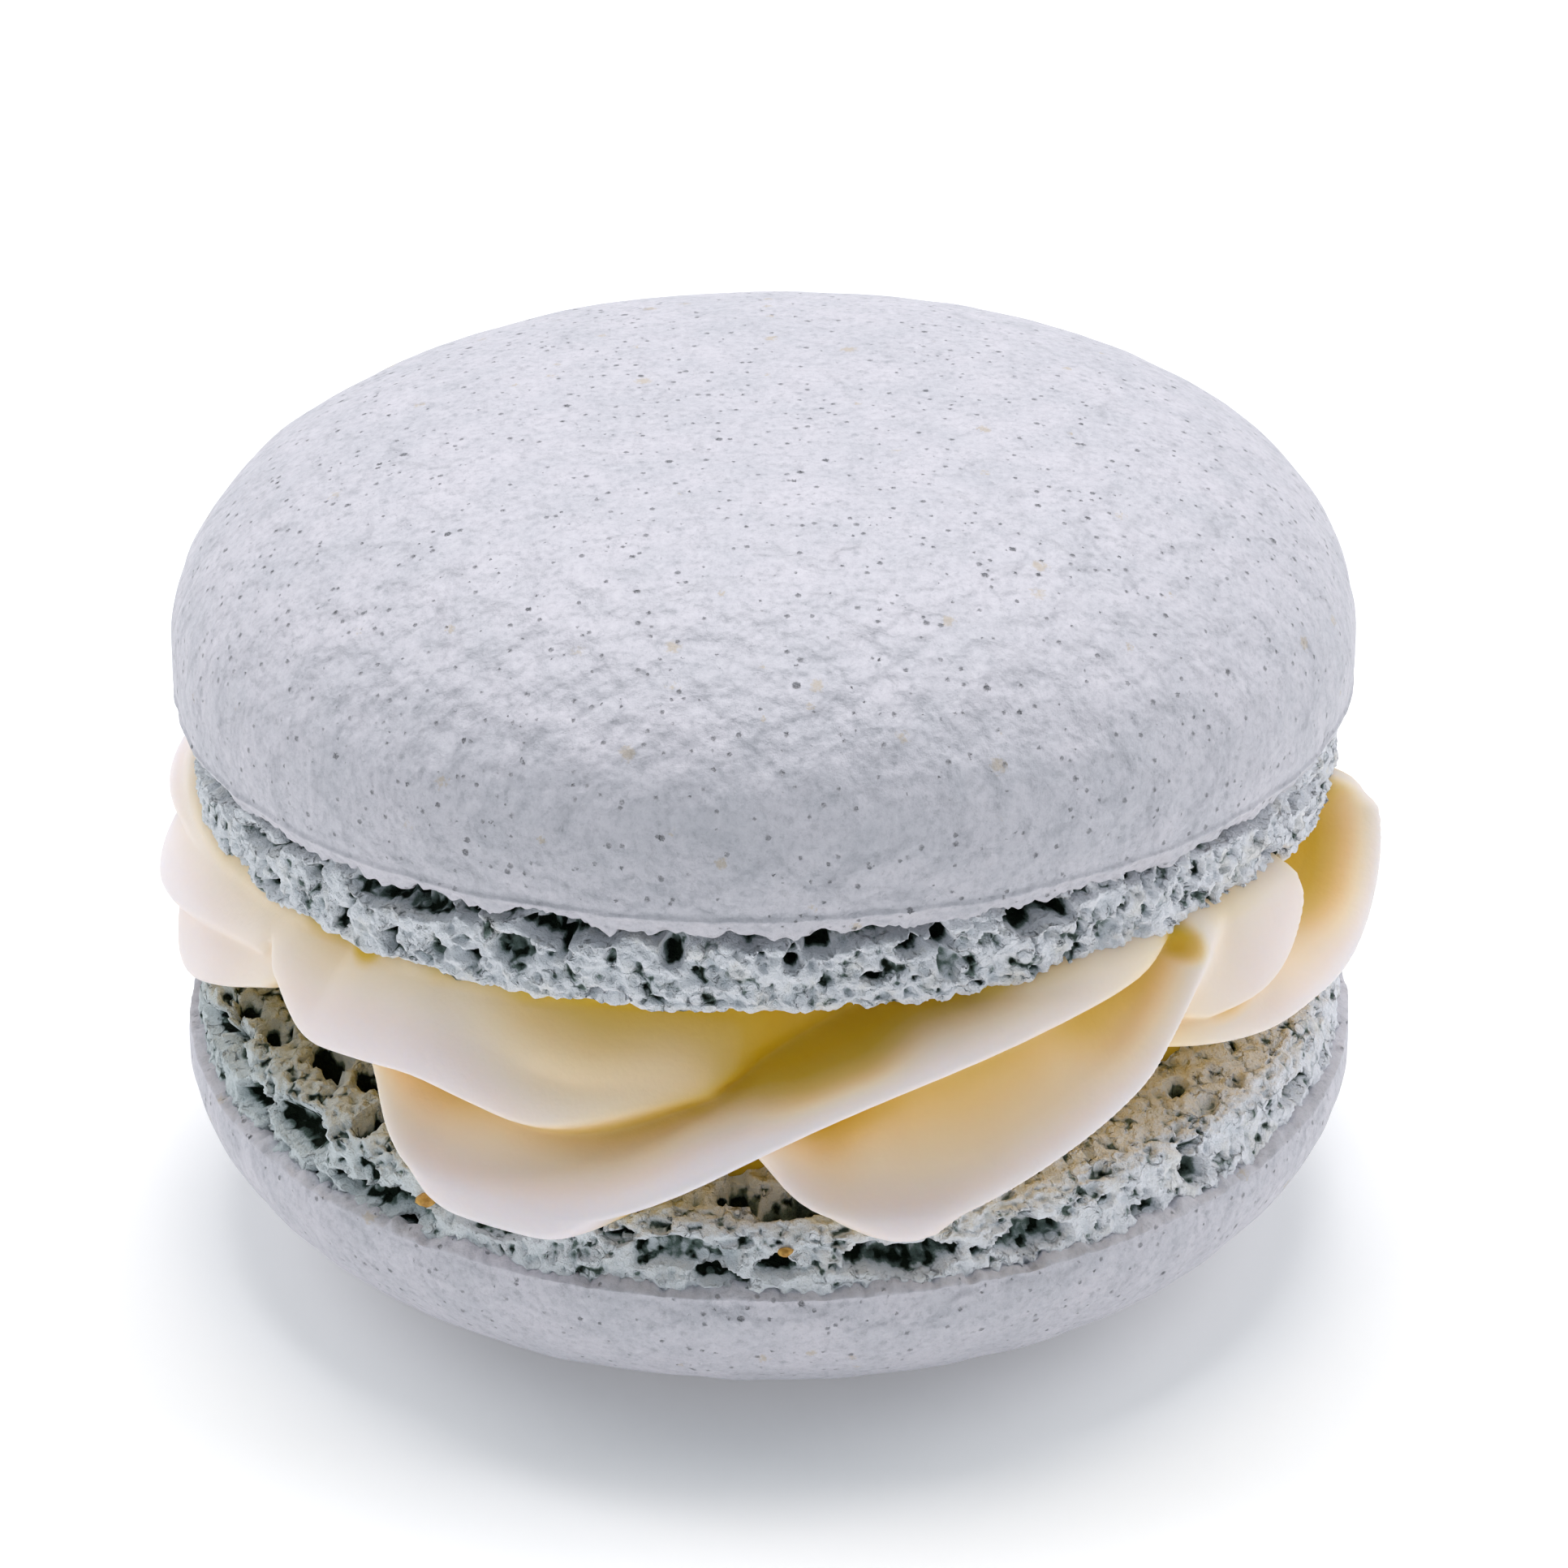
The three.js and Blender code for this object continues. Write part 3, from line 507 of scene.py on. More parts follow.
def sink_hollows(depth, plain, along, down, hollows):
    """Deepens depth, an array over the foot, by rounded hollows sunk from the plain depth."""
    for at, drop, width, height, sink in hollows:
        across = turn_between(np.degrees(along / UNROLL_RADIUS), at) * math.pi / 180 * UNROLL_RADIUS
        inside = 1 - (across / (width / 2)) ** 2 - ((down - drop) / (height / 2)) ** 2
        depth = np.maximum(depth, plain + sink * np.sqrt(np.maximum(inside, 0)))
    return depth


def carve_pores(depth, along, down, half):
    """Deepens depth, an array over the foot, by round pores at random places."""
    rng = np.random.default_rng(half.seed)
    rows, columns = depth.shape
    step_along = 2 * math.pi * half.foot_radius / columns
    half_round = UNROLL_RADIUS * math.pi
    pores = np.zeros_like(depth)
    for kind in PORES:
        for _ in range(kind.count):
            column = rng.integers(columns)
            row = rng.integers(rows)
            radius = kind.small + (kind.large - kind.small) * rng.random() ** 2
            sink = radius * rng.uniform(*PORE_SINK)
            squash = rng.uniform(*PORE_SQUASH)
            reach = radius * PORE_SQUASH[1] + PORE_MARGIN
            reach_c, reach_r = int(math.ceil(reach / step_along)), int(math.ceil(reach / FOOT_STEP))
            r0, r1 = max(0, row - reach_r), min(rows, row + reach_r + 1)
            span = np.arange(column - reach_c, column + reach_c + 1) % columns
            du = along[r0:r1][:, span] - along[row, column]
            du = (du + half_round) % (2 * half_round) - half_round
            dv = down[r0:r1][:, span] - down[row, column]
            left = radius**2 - (du * squash) ** 2 - (dv / squash) ** 2
            hole = np.where(left > 0, sink + np.sqrt(np.maximum(left, 0)), 0)
            pores[r0:r1, span] = np.maximum(pores[r0:r1][:, span], hole)
    return depth + pores


def blur(field, reach):
    """Average over reach rows and columns each way, round the ring and held at its edges."""
    kernel = np.hanning(2 * reach + 3)[1:-1]
    kernel /= kernel.sum()
    across = sum(w * np.roll(field, k - reach, axis=1) for k, w in enumerate(kernel))
    padded = np.pad(across, ((reach, reach), (0, 0)), mode="edge")
    return sum(w * padded[k:k + len(field)] for k, w in enumerate(kernel))


def foot_depth(half, base, angle, along, down, under_lip, airy):
    """How far each place of the foot lies behind its plain form."""
    seed = half.seed
    waves = ring_noise(angle, RECESS.row, RECESS.waves, seed)[None] ** RECESS.curve
    recess = half.recess * (RECESS.least + RECESS.more * waves)
    depth = recess * (1 - smoothstep(*RECESS.fade, under_lip))
    depth = depth + BEHIND_LIP.depth * (1 - smoothstep(*BEHIND_LIP.fade, under_lip))
    depth = depth + SWELLS.depth * (noise(base, SWELLS.size, seed + 50) + 1) / 2
    shift = [rough(base, CRUMB_WANDER.size, CRUMB_WANDER.octaves, seed + 64 + k) for k in range(3)]
    crumb = base + np.stack(shift, axis=-1) * CRUMB_WANDER.reach
    for grain in GRAINS:
        depth = depth + half.crumb * grain.depth * cells(crumb, grain.size, seed + grain.seed) ** 2
    depth = depth + half.crumb * FINE_CRUMB.depth * noise(base, FINE_CRUMB.size, seed + 58)
    plain = depth
    stretched = crumb * [1 / CAVES.stretch, 1 / CAVES.stretch, 1]
    cave = rough(stretched, CAVES.size, CAVES.octaves, seed + 70)
    near_lip = smoothstep(*CAVES.band, under_lip) * (1 - smoothstep(*CAVES.band_end, under_lip))
    threshold = lerp(*half.cave_from, near_lip if half is TOP else airy)
    depth = depth + CAVES.depth * smoothstep(threshold, threshold + CAVES.soft, cave)
    depth = sink_hollows(depth, plain, along, down, hollows_of(half))
    depth = carve_pores(depth, along, down, half)
    rows = len(depth)
    return depth * smoothstep(0, FACE_FADE, np.arange(rows)[::-1] / rows)[:, None]


def make_foot(half, material):
    length, r, z, outwards, upwards = foot_profile(half)
    angle = ring_angles(FOOT_COLUMNS)
    turn = np.radians(angle)
    base = from_polar(r[:, None], turn, z[:, None])
    # Every place is looked up a little way off, by noise, so that pores and hollows aren't round.
    wander = [rough(base, WANDER.size, WANDER.octaves, half.seed + 60 + k) for k in (0, 1)]
    along = turn * UNROLL_RADIUS + wander[0] * WANDER.reach
    down = length[:, None] + wander[1] * WANDER.reach
    under_lip = length[:, None] - lip_drop(half, angle)
    airy = ((1 + np.cos(np.radians(angle * half.turned - AIRY_AT))) / 2)[None] ** 2
    depth = foot_depth(half, base, angle, along, down, under_lip, airy)
    grid = base - from_polar(outwards[:, None], turn, upwards[:, None]) * depth[..., None]

    rounding = half.foot_height - half.foot_edge
    rising, falling = (smoothstep(rounding + low, rounding + high, length) for low, high in RAGGED.spans)
    flattened = base * [1, 1, RAGGED.flatten]
    lumps = sum(
        lump.share * (1 - cells(flattened, lump.size, half.seed + lump.seed) ** 2) for lump in EDGE_LUMPS
    )
    grid[..., 2] -= half.ragged * (lumps - 1) * (rising * falling)[:, None]
    points, faces = revolve(grid, [0, 0, FOOT_HIDDEN_TOP], [0, 0, -half.foot_height])

    # The pits and depth go to the material, which paints shade from them in pits, hollows and caves
    finer = depth - blur(depth, PIT.narrow)
    pit = depth - blur(depth, PIT.wide) + PIT.narrow_share * finer
    near = smoothstep(*CREAM_NEAR, length - rounding)[:, None]
    attributes = {
        "pit": per_point(pit, depth.shape),
        "depth": per_point(depth, depth.shape),
        "airy": per_point(airy * half.greyer, depth.shape),
        "cream_near": per_point(near, depth.shape, poles=(0, 1)),
    }
    name = half.name.replace("shell", "foot")
    return make_piece(name, half.name, place(half, points), faces, material, attributes)


# ---- Cream ----
CREAM_COLUMNS = 900
CREAM_ROWS = 97
BAND_STEPS = 200
SMOOTH_COLUMNS = 150  # heights are averaged over this part of the turn each way
# How far the cream reaches into each half, to leave no gap, and how far from the band's edge that starts
CREAM_TUCK = Values(below=0.5, below_from=0.5, above=0.9, above_from=0.7, narrower=1.6, narrower_from=0.45)
CREAM_INSIDE = 0.05  # how far it stays inside the solid's outline
# Painted shade makes the cream yellower the further it is set back from its outermost crests and the more it
# is sheltered.
OUTERMOST = 22.0
# Rays of this reach start a little clear of every second row and third column, and lean to the front.
SHELTER = Values(tone=2.0, rays=40, reach=7.0, seed=5, lean=1.02, clear=0.05, rows=2, columns=3)
# The rough shapes that the rays meet: depths of the lip and the foot below the rim, and radii
COARSE = Values(sides=96, lip=0.6, foot=0.7, set_back=[0.6, 0.75], hole=16, cream=[300, 40], poles=[16, 11])
PAINTED_SHADE_RANGE = 6.0
# Patches of painted shade on the cream, less where the amount is negative: [angle, height above the floor,
# size, amount]
PAINTED_SHADE_PATCHES = [
    [-133, 17.7, 1, 2], [-110, 16.6, 4, 0.5], [-92, 15.6, 2.5, 0.3],
    [-92, 11.5, 3.5, -1], [-84, 16.3, 3.6, 1.4], [-65, 12.5, 6, 0.75],
    [-55, 16.3, 3, 0.7], [-47, 17.8, 0.8, 1.6], [-14, 15.8, 4, 0.95],
]
PATCH_CORE = 0.2  # share of its size inside which a patch is full
PATCH_RECESS = [-0.6, 1.2]  # a patch is weak on the crests and full where the cream is set back


def back_ridges():
    b = BACK_RIDGES
    ridges = []
    for i in range(b.count):
        shift, lift, shrink = (scatter(i, k, b.seed) for k in (1, 2, 3))
        start = lerp(b.first, b.last, i / (b.count - 1)) + b.shift * (shift - 0.5)
        lift, shrink = b.lift * (lift - 0.5), b.shrink * shrink
        path = [[start + at, height + lift, reach - shrink, *fall] for at, height, reach, *fall in BACK_SHAPE]
        ridges.append((b.below_width, path))
    return ridges


def smooth_line(points, steps):
    """A Catmull-Rom curve through the points, with its ends mirrored."""
    p = np.array(points, float)
    p = np.vstack([2 * p[0] - p[1], p, 2 * p[-1] - p[-2]])
    t = np.linspace(0, len(points) - 1, steps + 1)
    i = np.minimum(t.astype(int), len(points) - 2)
    t = (t - i)[:, None]
    a, b, c, d = p[i], p[i + 1], p[i + 2], p[i + 3]
    return b + (c - a) * t / 2 + (2 * a - 5 * b + 4 * c - d) * t**2 / 2 + (3 * b - a - 3 * c + d) * t**3 / 2


def ridge_radius(below_width, path, along, height):
    """The radius that one ridge gives at each place on the band, blended over the stretches of its line."""
    line = smooth_line(path, RIDGE_STEPS)
    u, h = np.radians(line[:, 0]) * UNROLL_RADIUS, line[:, 1]
    squares, aboves = [], []
    for i in range(RIDGE_STEPS):
        du, dh = u[i + 1] - u[i], h[i + 1] - h[i]
        share = np.clip(((along - u[i]) * du + (height - h[i]) * dh) / (du * du + dh * dh), 0, 1)
        off_u, off_h = along - u[i] - share * du, height - h[i] - share * dh
        square = off_u**2 + off_h**2
        lift = (du * off_h - dh * off_u) / np.sqrt((du * du + dh * dh) * square + 1e-9)
        squares.append(square)
        aboves.append(smoothstep(-CREST_SOFT, CREST_SOFT, lift))
    square = np.min(squares, axis=0)
    total, sums = 0, np.zeros((5, *square.shape))
    for i in range(RIDGE_STEPS):
        weight = np.exp((square - squares[i]) / RIDGE_BLEND**2)
        middle = (line[i] + line[i + 1]) / 2
        total = total + weight
        for k, value in enumerate((*middle[2:], aboves[i])):
            sums[k] += weight * value
    crest, fall, side, below, above = sums / total
    depth, width = lerp(below, fall, above), lerp(below_width, side, above)
    return crest - depth * square / (square + width**2) - square / (2 * SPREAD)


def free_radius(angle, height):
    """Radius of the cream before the upper half presses it in."""
    full = 2 * math.pi * UNROLL_RADIUS
    along = np.radians(angle) * UNROLL_RADIUS
    core = CORE.reach - (height - CORE.middle) ** 2 / (2 * CORE.round)
    candidates = [core]
    for below_width, path in FRONT_RIDGES + back_ridges():
        first, last = (math.radians(path[k][0]) * UNROLL_RADIUS for k in (0, -1))
        for turn in (-full, 0, full):
            near = (along + turn > first - RIDGE_REACH) & (along + turn < last + RIDGE_REACH)
            radius = np.full(along.shape, UNFELT)
            if near.any():
                radius[near] = ridge_radius(below_width, path, (along + turn)[near], height[near])
            candidates.append(radius)
    candidates = np.array(candidates)
    most = candidates.max(axis=0)
    return most + CREASE * np.log(np.exp((candidates - most) / CREASE).sum(axis=0))


def cream_radius(angle, height):
    free = free_radius(angle, height)
    pressed = PRESS.reach + PRESS.slope * (BAND - height)
    return free - PRESS.soft * np.logaddexp(0, (free - pressed) / PRESS.soft)


def cream_grid(columns, rows):
    """Points of the cream's side and their heights on the band, row by row from the top, evenly spaced along
    its outline."""
    angle = ring_angles(columns)
    height = np.linspace(0, BAND, BAND_STEPS)
    turn, level = np.meshgrid(angle, height, indexing="xy")
    radius = cream_radius(turn, level)
    steps = np.hypot(np.diff(radius, axis=0), np.diff(level, axis=0))
    length = np.vstack([np.zeros(columns), np.cumsum(steps, axis=0)])
    wanted = np.linspace(0, 1, rows)
    spaced = [np.interp(wanted * length[-1, c], length[:, c], height) for c in range(columns)]
    spaced = np.stack(spaced, axis=-1)
    reach = columns // SMOOTH_COLUMNS
    spaced = sum(np.roll(spaced, k, axis=1) for k in range(-reach, reach + 1)) / (2 * reach + 1)
    r = np.stack([np.interp(spaced[:, c], height, radius[:, c]) for c in range(columns)], axis=-1)
    r = r - CREAM_INSIDE
    r = r - CREAM_TUCK.narrower * smoothstep(BAND - CREAM_TUCK.narrower_from, BAND, spaced)
    x, y = r * np.cos(np.radians(angle)), r * np.sin(np.radians(angle))
    floor = BOTTOM_RIM + BOTTOM.foot_height + face_rise(BOTTOM, r)
    ceiling = TOP_PLACE.rim_height - BAND_CEILING
    ceiling = ceiling + math.sin(TOP_PLACE.pitch) * (y - TOP_PLACE.y)
    ceiling = ceiling - math.sin(TOP_PLACE.roll) * (x - TOP_PLACE.x)
    z = lerp(floor, ceiling, spaced / BAND)
    z = z + CREAM_TUCK.above * smoothstep(BAND - CREAM_TUCK.above_from, BAND, spaced)
    z = z - CREAM_TUCK.below * smoothstep(CREAM_TUCK.below_from, 0, spaced)
    return np.stack([x, y, z], axis=-1)[::-1], spaced[::-1]


def grid_normals(grid):
    across = np.roll(grid, -1, axis=1) - np.roll(grid, 1, axis=1)
    down = np.gradient(grid, axis=0)
    normal = np.cross(down, across)
    return normal / np.linalg.norm(normal, axis=-1, keepdims=True)


def shelter(points, normals, tree):
    """How much of the space in front of each point is blocked, from 0 to 1."""
    rng = np.random.default_rng(SHELTER.seed)
    sphere = rng.normal(size=(SHELTER.rays, 3))
    sphere /= np.linalg.norm(sphere, axis=1, keepdims=True)
    result = np.zeros(len(points))
    for i, (point, normal) in enumerate(zip(points, normals)):
        directions = sphere + normal * SHELTER.lean
        origin = Vector(point + normal * SHELTER.clear)
        blocked = 0.0
        for direction in directions:
            distance = tree.ray_cast(origin, Vector(direction), SHELTER.reach)[3]
            if distance is not None:
                blocked += 1 - distance / SHELTER.reach
        result[i] = blocked / SHELTER.rays
    return result


def coarse_tree():
    """The rough shapes of all three bodies, to find what shelters what."""
    bodies = []
    turn = np.radians(np.arange(COARSE.sides) * 360 / COARSE.sides)
    for half in (TOP, BOTTOM):
        foot = [half.foot_radius - back for back in COARSE.set_back]
        r = np.array([half.widest, half.rim_radius, *foot, COARSE.hole])
        low = -half.foot_height
        z = np.array([half.widest_at, -COARSE.lip, -COARSE.foot, low, low])
        grid = from_polar(r[:, None], turn, z[:, None])
        points, faces = revolve(grid, [0, 0, half.widest_at], [0, 0, low])
        bodies.append((place(half, points), faces))
    first, last = ([0, 0, height] for height in COARSE.poles)
    bodies.append(revolve(cream_grid(*COARSE.cream)[0], first, last))
    points, faces = join(bodies)
    return BVHTree.FromPolygons(points.tolist(), faces)


def resize(field, rows, columns):
    """A ring-shaped field on a grid of another size, by straight interpolation."""
    old_rows, old_columns = field.shape
    at = np.arange(columns) * old_columns / columns
    i = at.astype(int) % old_columns
    wide = lerp(field[:, i], field[:, (i + 1) % old_columns], (at - np.floor(at))[None])
    up = np.linspace(0, old_rows - 1, rows)
    j = np.minimum(up.astype(int), old_rows - 2)
    return lerp(wide[j], wide[j + 1], (up - j)[:, None])


def make_cream(material, tree):
    grid, level = cream_grid(CREAM_COLUMNS, CREAM_ROWS)
    points, faces = revolve(grid, [0, 0, grid[0, :, 2].mean()], [0, 0, grid[-1, :, 2].mean()])
    sparse, normals = (field[::SHELTER.rows, ::SHELTER.columns] for field in (grid, grid_normals(grid)))
    blocked = shelter(sparse.reshape(-1, 3), normals.reshape(-1, 3), tree).reshape(sparse.shape[:2])
    blocked = resize(blur(blocked, 1), CREAM_ROWS, CREAM_COLUMNS)
    turn = np.broadcast_to(ring_angles(CREAM_COLUMNS), level.shape)
    recess = OUTERMOST - blur(free_radius(turn, level), 2)
    # Painted shade for the creases, the recesses and under the upper half, from how far each place is set
    # back, how sheltered it is, and the patches
    tone = recess + SHELTER.tone * blocked
    for angle, height, size, amount in PAINTED_SHADE_PATCHES:
        away = np.hypot(np.radians(turn_between(turn, angle)) * UNROLL_RADIUS, grid[..., 2] - height)
        felt = smoothstep(size, PATCH_CORE * size, away) * smoothstep(*PATCH_RECESS, recess)
        tone = tone + amount * felt
    tone = np.clip(tone / PAINTED_SHADE_RANGE, 0, 1)
    attributes = {"tone": per_point(tone, tone.shape, poles=(1, 1))}
    return make_piece("cream", "cream_filling", points, faces, material, attributes)


# ---- Crumbs of almond skin that lie on the feet: [angle, radius, height, size] ----
ALMONDS = [
    [-124.7, 20.45, 8.95, 0.38], [-88.5, 20.35, 9.05, 0.26], [173, 20.05, 18.6, 0.4],
    [38, 20.45, 8.9, 0.36], [96, 20.4, 9, 0.3],
]
ALMOND_RINGS, ALMOND_SIDES = 6, 9
ALMOND_SHAPE = [1.0, 0.75, 0.6]
ALMOND_LUMPS = Values(height=0.3, size=0.7, seed=90, apart=7.0)


def make_almonds(material):
    turn = np.radians(np.arange(ALMOND_SIDES) * 360 / ALMOND_SIDES)
    tilt = np.radians(180 * (np.arange(ALMOND_RINGS) + 0.5) / ALMOND_RINGS)
    ball = from_polar(np.sin(tilt)[:, None], turn, np.cos(tilt)[:, None])
    ball, patch = revolve(ball, [0, 0, 1], [0, 0, -1])
    bodies = []
    for k, (angle, radius, height, size) in enumerate(ALMONDS):
        lumps = rough(ball + ALMOND_LUMPS.apart * k, ALMOND_LUMPS.size, 2, ALMOND_LUMPS.seed + k)
        body = ball * size * ALMOND_SHAPE * (1 + ALMOND_LUMPS.height * lumps)[:, None]
        at = math.radians(angle)
        spin = at + 2 * math.pi * scatter(k, 4, 9)
        body = body @ rotation(2, spin).T + [radius * math.cos(at), radius * math.sin(at), height]
        bodies.append((body, patch))
    points, faces = join(bodies)
    return make_piece("almond_crumbs", "bottom_shell", points, faces, material)


# ---- Materials ----
SPOT_WOBBLE = Values(waves=2.2, reach=1.6)  # per radius of a spot
SPOT_SIZES = [0.35, 1.2]


def srgb(r, g, b):
    """A colour given as 0 to 255 in sRGB, in the linear values that the shaders use."""
    linear = [c / 255 / 12.92 if c <= 10.31 else ((c / 255 + 0.055) / 1.055) ** 2.4 for c in (r, g, b)]
    return (*linear, 1.0)


class Finish:
    """A node material, with short ways to add nodes and join them."""

    def __init__(self, name):
        self.material = bpy.data.materials.new(name)
        self.material.use_nodes = True
        self.tree = self.material.node_tree
        self.shader = self.tree.nodes["Principled BSDF"]
        local = self.node("ShaderNodeTexCoord").outputs["Object"]
        scaled = self.node("ShaderNodeVectorMath", {0: local, "Scale": 1 / MM}, operation="SCALE")
        self.where = scaled.outputs[0]

    def surface(self, colour, values):
        """Sets the shader's colour and its plain values."""
        self.set(self.shader.inputs["Base Color"], colour)
        for name, value in values.items():
            self.shader.inputs[name].default_value = value

    def node(self, kind, inputs=None, **settings):
        node = self.tree.nodes.new(kind)
        for key, value in settings.items():
            setattr(node, key, value)
        for key, value in (inputs or {}).items():
            self.set(node.inputs[key], value)
        return node

    def set(self, socket, value):
        if isinstance(value, bpy.types.NodeSocket):
            self.tree.links.new(value, socket)
        else:
            socket.default_value = value

    def noise(self, size, detail=2.0, roughness=0.5):
        inputs = {"Vector": self.where, "Scale": 1 / size, "Detail": detail, "Roughness": roughness}
        return self.node("ShaderNodeTexNoise", inputs).outputs[0]

    def spots(self, size, radius, share, soft=0.5):
        """1 inside scattered uneven spots, one to a cell of this size in this share of the cells. They fade
        outwards from soft times the radius."""
        wobble = {"Vector": self.where, "Scale": SPOT_WOBBLE.waves / radius, "Detail": 1.0}
        shift = self.node("ShaderNodeTexNoise", wobble).outputs[1]
        warped = {0: shift, 1: (radius * SPOT_WOBBLE.reach,) * 3, 2: self.where}
        warped = self.node("ShaderNodeVectorMath", warped, operation="MULTIPLY_ADD").outputs[0]
        cell = self.node("ShaderNodeTexVoronoi", {"Vector": warped, "Scale": 1 / size})
        draw = self.node("ShaderNodeSeparateColor", {0: cell.outputs["Color"]})
        away = self.math("DIVIDE", cell.outputs["Distance"], self.range(draw.outputs[1], 0, 1, *SPOT_SIZES))
        near = self.range(away, radius / size, radius / size * soft)
        return self.scaled(near, self.math("LESS_THAN", draw.outputs[0], share))

    def math(self, operation, a, b):
        return self.node("ShaderNodeMath", {0: a, 1: b}, operation=operation).outputs[0]

    def scaled(self, value, by):
        return self.math("MULTIPLY", value, by)

    def range(self, value, low, high, to_low=0.0, to_high=1.0):
        inputs = {"Value": value, "From Min": low, "From Max": high, "To Min": to_low, "To Max": to_high}
        return self.node("ShaderNodeMapRange", inputs, clamp=True).outputs["Result"]

    def mix(self, share, a, b):
        return self.node("ShaderNodeMix", {0: share, 6: a, 7: b}, data_type="RGBA").outputs[2]

    def attribute(self, name):
        return self.node("ShaderNodeAttribute", attribute_name=name).outputs["Fac"]

    def ramp(self, value, stops):
        node = self.node("ShaderNodeValToRGB", {0: value})
        elements = node.color_ramp.elements
        for element, (position, *colour) in zip(elements, (stops[0], stops[-1])):
            element.position, element.color = position, srgb(*colour)
        for position, *colour in stops[1:-1]:
            elements.new(position).color = srgb(*colour)
        return node.outputs[0]

    def bump(self, layers):
        """Layers of [height socket, size of the relief in millimetres], laid over each other."""
        normal = None
        for height, depth in layers:
            inputs = {"Height": height, "Distance": depth * MM, "Strength": 1.0}
            if normal is not None:
                inputs["Normal"] = normal
            normal = self.node("ShaderNodeBump", inputs).outputs[0]
        self.set(self.shader.inputs["Normal"], normal)


SKIN_LIGHT = srgb(214, 211, 219)
SKIN_DARK = srgb(203, 202, 210)
SKIN_GRAIN_DARK = srgb(164, 166, 174)
SKIN_GRAIN_LIGHT = srgb(226, 225, 231)
SKIN_SPECK = srgb(122, 126, 134)
SKIN_PINHOLE_SHADE = srgb(90, 96, 104)
SKIN_TAN = srgb(196, 180, 156)
FOOT_LIGHT = srgb(240, 241, 247)
FOOT_GREY = srgb(216, 224, 226)
FOOT_TAN = srgb(236, 230, 216)
# Stops of a ramp, [position, red, green, blue]: the painted shade that the foot's colour is multiplied by,
# down to a deep pit
FOOT_SHADES = [
    [0.0, 255, 255, 255],
    [0.26, 232, 236, 237],
    [0.43, 122, 139, 130],
    [0.68, 22, 34, 20],
]
# From the cream's own colour on its crests to the painted shade, tan to mustard, in its creases and recesses
CREAM_COLOUR_AND_SHADE = [
    [0.0, 240, 231, 235],
    [0.08, 243, 231, 231],
    [0.15, 245, 229, 222],
    [0.22, 248, 230, 215],
    [0.29, 254, 229, 202],
    [0.35, 252, 222, 182],
    [0.41, 244, 211, 153],
    [0.49, 234, 198, 114],
    [0.6, 226, 184, 58],
    [0.72, 222, 176, 20],
    [1.0, 206, 162, 14],
]
ALMOND_DARK = srgb(176, 124, 44)
ALMOND_LIGHT = srgb(230, 182, 92)
FLOOR_DARK = srgb(250, 250, 250)
FLOOR_LIGHT = srgb(253, 253, 253)
CRUMB_SIZE = 0.42


def skin_finish():
    f = Finish("meringue_skin")
    mottle = f.range(f.noise(2.2, detail=4.0, roughness=0.6), 0.35, 0.65)
    colour = f.mix(mottle, SKIN_DARK, SKIN_LIGHT)
    grain = f.noise(0.3, detail=4.0, roughness=0.8)
    colour = f.mix(f.range(grain, 0.34, 0.5, 0.4, 0.0), colour, SKIN_GRAIN_DARK)
    colour = f.mix(f.range(grain, 0.52, 0.66, 0.0, 0.35), colour, SKIN_GRAIN_LIGHT)
    specks = f.spots(size=0.5, radius=0.18, share=0.7, soft=0.1)
    colour = f.mix(f.scaled(specks, 0.35), colour, SKIN_SPECK)
    tan = f.spots(size=1.5, radius=0.3, share=0.25)
    colour = f.mix(f.scaled(tan, 0.6), colour, SKIN_TAN)
    # Pinholes: dents in the bump, with painted shade in them
    pins = f.spots(size=0.9, radius=0.12, share=0.35, soft=0.3)
    small_pins = f.spots(size=0.45, radius=0.09, share=0.7, soft=0.2)
    pins = f.math("MAXIMUM", pins, f.scaled(small_pins, 0.6))
    colour = f.mix(f.scaled(pins, 0.62), colour, SKIN_PINHOLE_SHADE)
    f.surface(colour, {"Roughness": 0.56, "Specular IOR Level": 0.5})
    uneven = f.noise(1.5, detail=2.5)
    f.bump([(uneven, 0.6), (grain, 0.05), (f.scaled(pins, -1.0), 0.15)])
    return f.material


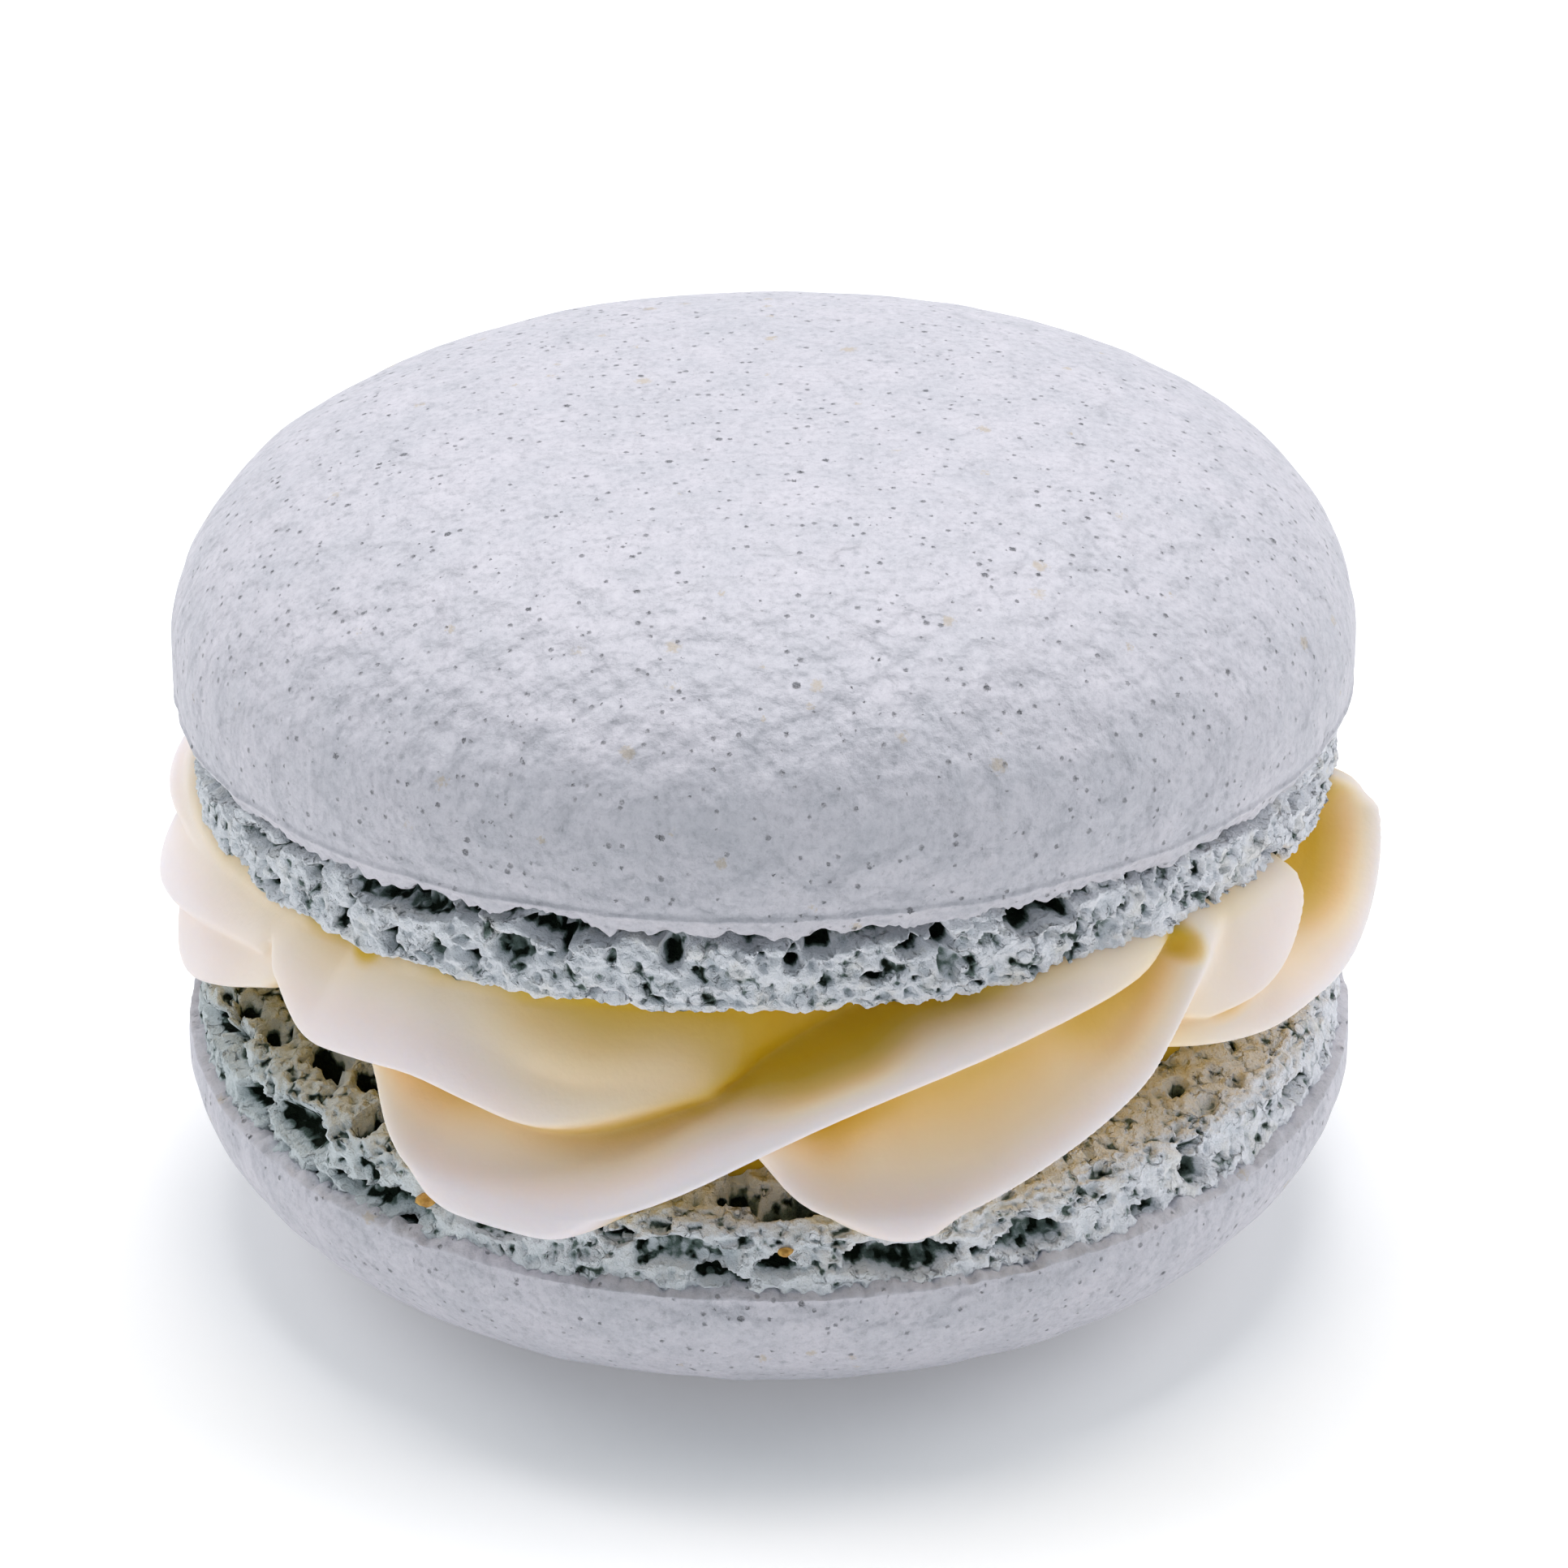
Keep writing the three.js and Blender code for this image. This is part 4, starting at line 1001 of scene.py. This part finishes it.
def foot_finish():
    f = Finish("meringue_foot")
    airy = f.attribute("airy")
    grain = f.noise(0.2, detail=3.0, roughness=0.7)
    crumbs = f.node("ShaderNodeTexVoronoi", {"Vector": f.where, "Scale": 1 / CRUMB_SIZE}).outputs["Distance"]
    # Gaps between the crumbs, sunk in the bump and given painted shade
    gaps = f.scaled(f.range(crumbs, 0.45, 0.8), f.range(f.noise(0.8), 0.47, 0.61))
    # How deep the painted shade is: more in pits, hollows, caves and the gaps between crumbs, with some
    # random grain, and more where the crumb is airy
    level = f.math("ADD", f.scaled(f.attribute("pit"), 1.6), f.scaled(f.attribute("depth"), 0.35))
    level = f.math("ADD", level, f.range(grain, 0.0, 1.0, -0.18, 0.18))
    level = f.math("ADD", level, f.scaled(gaps, 0.95))
    level = f.scaled(level, f.range(airy, 0.0, 1.0, 0.8, 1.25))
    tan = f.range(f.noise(1.1, detail=3.0, roughness=0.6), 0.52, 0.66)
    near = f.range(f.attribute("cream_near"), 0.0, 1.0, 0.35, 0.6)
    tan = f.scaled(f.scaled(tan, near), f.range(airy, 0.0, 0.8, 1.0, 0.15))
    light = f.mix(tan, f.mix(airy, FOOT_LIGHT, FOOT_GREY), FOOT_TAN)
    # The painted shade, from none on plain crumb to dark green-black in deep pits
    shade = f.ramp(f.range(level, 0.05, 1.5), FOOT_SHADES)
    inputs = {0: 1.0, 6: light, 7: shade}
    colour = f.node("ShaderNodeMix", inputs, data_type="RGBA", blend_type="MULTIPLY").outputs[2]
    f.surface(colour, {"Roughness": 0.92, "Specular IOR Level": 0.2})
    f.bump([(f.noise(0.35, detail=3.0, roughness=0.65), 0.18), (gaps, -0.2), (grain, 0.1)])
    return f.material


def cream_finish():
    f = Finish("cream")
    # The cream's own colour, with painted shade from tan to mustard where it is set back and sheltered
    f.surface(f.ramp(f.attribute("tone"), CREAM_COLOUR_AND_SHADE), {
        "Roughness": 0.5,
        "Specular IOR Level": 0.35,
        "Subsurface Weight": 0.5,
        "Subsurface Radius": (1.0, 0.85, 0.65),
        "Subsurface Scale": 0.0012,
    })
    f.bump([(f.noise(1.6), 0.06), (f.noise(0.25), 0.015)])
    return f.material


def almond_finish():
    f = Finish("almond_skin")
    mottle = f.range(f.noise(0.3, detail=3.0), 0.35, 0.65)
    f.surface(f.mix(mottle, ALMOND_DARK, ALMOND_LIGHT), {"Roughness": 0.6})
    f.bump([(f.noise(0.15), 0.05)])
    return f.material


# ---- Floor, light and camera ----
FLOOR_SIZE = 4.0  # metres
FLOOR_GLOW = 0.13
SKY_COLOUR = (0.79, 0.93, 1.0, 1.0)
SKY_STRENGTH = 0.3
LAMP_COLOUR = (1.0, 0.975, 0.98)
LAMP_TARGET = (0, 0, 0.015)  # metres
# Soft boxes: [place in metres, size in metres, power in watts]
SOFT_BOXES = dict(
    above=[(0.0, 0.12, 0.55), 0.4, 2.2],
    left=[(-0.42, 0.12, 0.36), 0.4, 0.9],
    right=[(0.42, 0.05, 0.34), 0.4, 0.85],
)


def make_floor():
    mesh = bpy.data.meshes.new("floor")
    h = FLOOR_SIZE / 2
    mesh.from_pydata([(-h, -h, 0), (h, -h, 0), (h, h, 0), (-h, h, 0)], [], [(0, 1, 2, 3)])
    floor = add_object("floor", mesh)
    f = Finish("floor")
    f.surface(f.mix(f.noise(40.0), FLOOR_DARK, FLOOR_LIGHT), {
        "Roughness": 1.0,
        "Specular IOR Level": 0.0,
        "Emission Color": (1.0, 1.0, 1.0, 1.0),
        "Emission Strength": FLOOR_GLOW,
    })
    mesh.materials.append(f.material)


def look_at(thing, place_at, target):
    thing.location = Vector(place_at)
    thing.rotation_euler = (Vector(target) - Vector(place_at)).to_track_quat("-Z", "Y").to_euler()


def make_lights():
    world = bpy.data.worlds.new("studio")
    world.use_nodes = True
    sky = world.node_tree.nodes["Background"]
    sky.inputs["Color"].default_value = SKY_COLOUR
    sky.inputs["Strength"].default_value = SKY_STRENGTH
    bpy.context.scene.world = world
    for name, (spot, size, power) in SOFT_BOXES.items():
        light = bpy.data.lights.new(name, "AREA")
        light.shape = "DISK"
        light.size = size
        light.energy = power
        light.color = LAMP_COLOUR
        look_at(add_object(name, light), spot, LAMP_TARGET)


def make_camera():
    data = bpy.data.cameras.new("camera")
    data.sensor_width = SENSOR
    data.lens = FOCAL_PIXELS / PHOTO_PIXELS * SENSOR
    data.clip_start = CLIP_START
    camera = add_object("camera", data)
    target = np.array(CAMERA_TARGET)
    back = np.array([0, -math.cos(CAMERA_ELEVATION), math.sin(CAMERA_ELEVATION)])
    look_at(camera, (target + back * CAMERA_DISTANCE) * MM, target * MM)
    bpy.context.scene.camera = camera


make_camera()
make_lights()
make_floor()
skin = skin_finish()
foot = foot_finish()
make_skin(TOP, skin)
make_skin(BOTTOM, skin)
make_foot(TOP, foot)
make_foot(BOTTOM, foot)
make_cream(cream_finish(), coarse_tree())
make_almonds(almond_finish())
bpy.context.scene.view_settings.view_transform = "Standard"
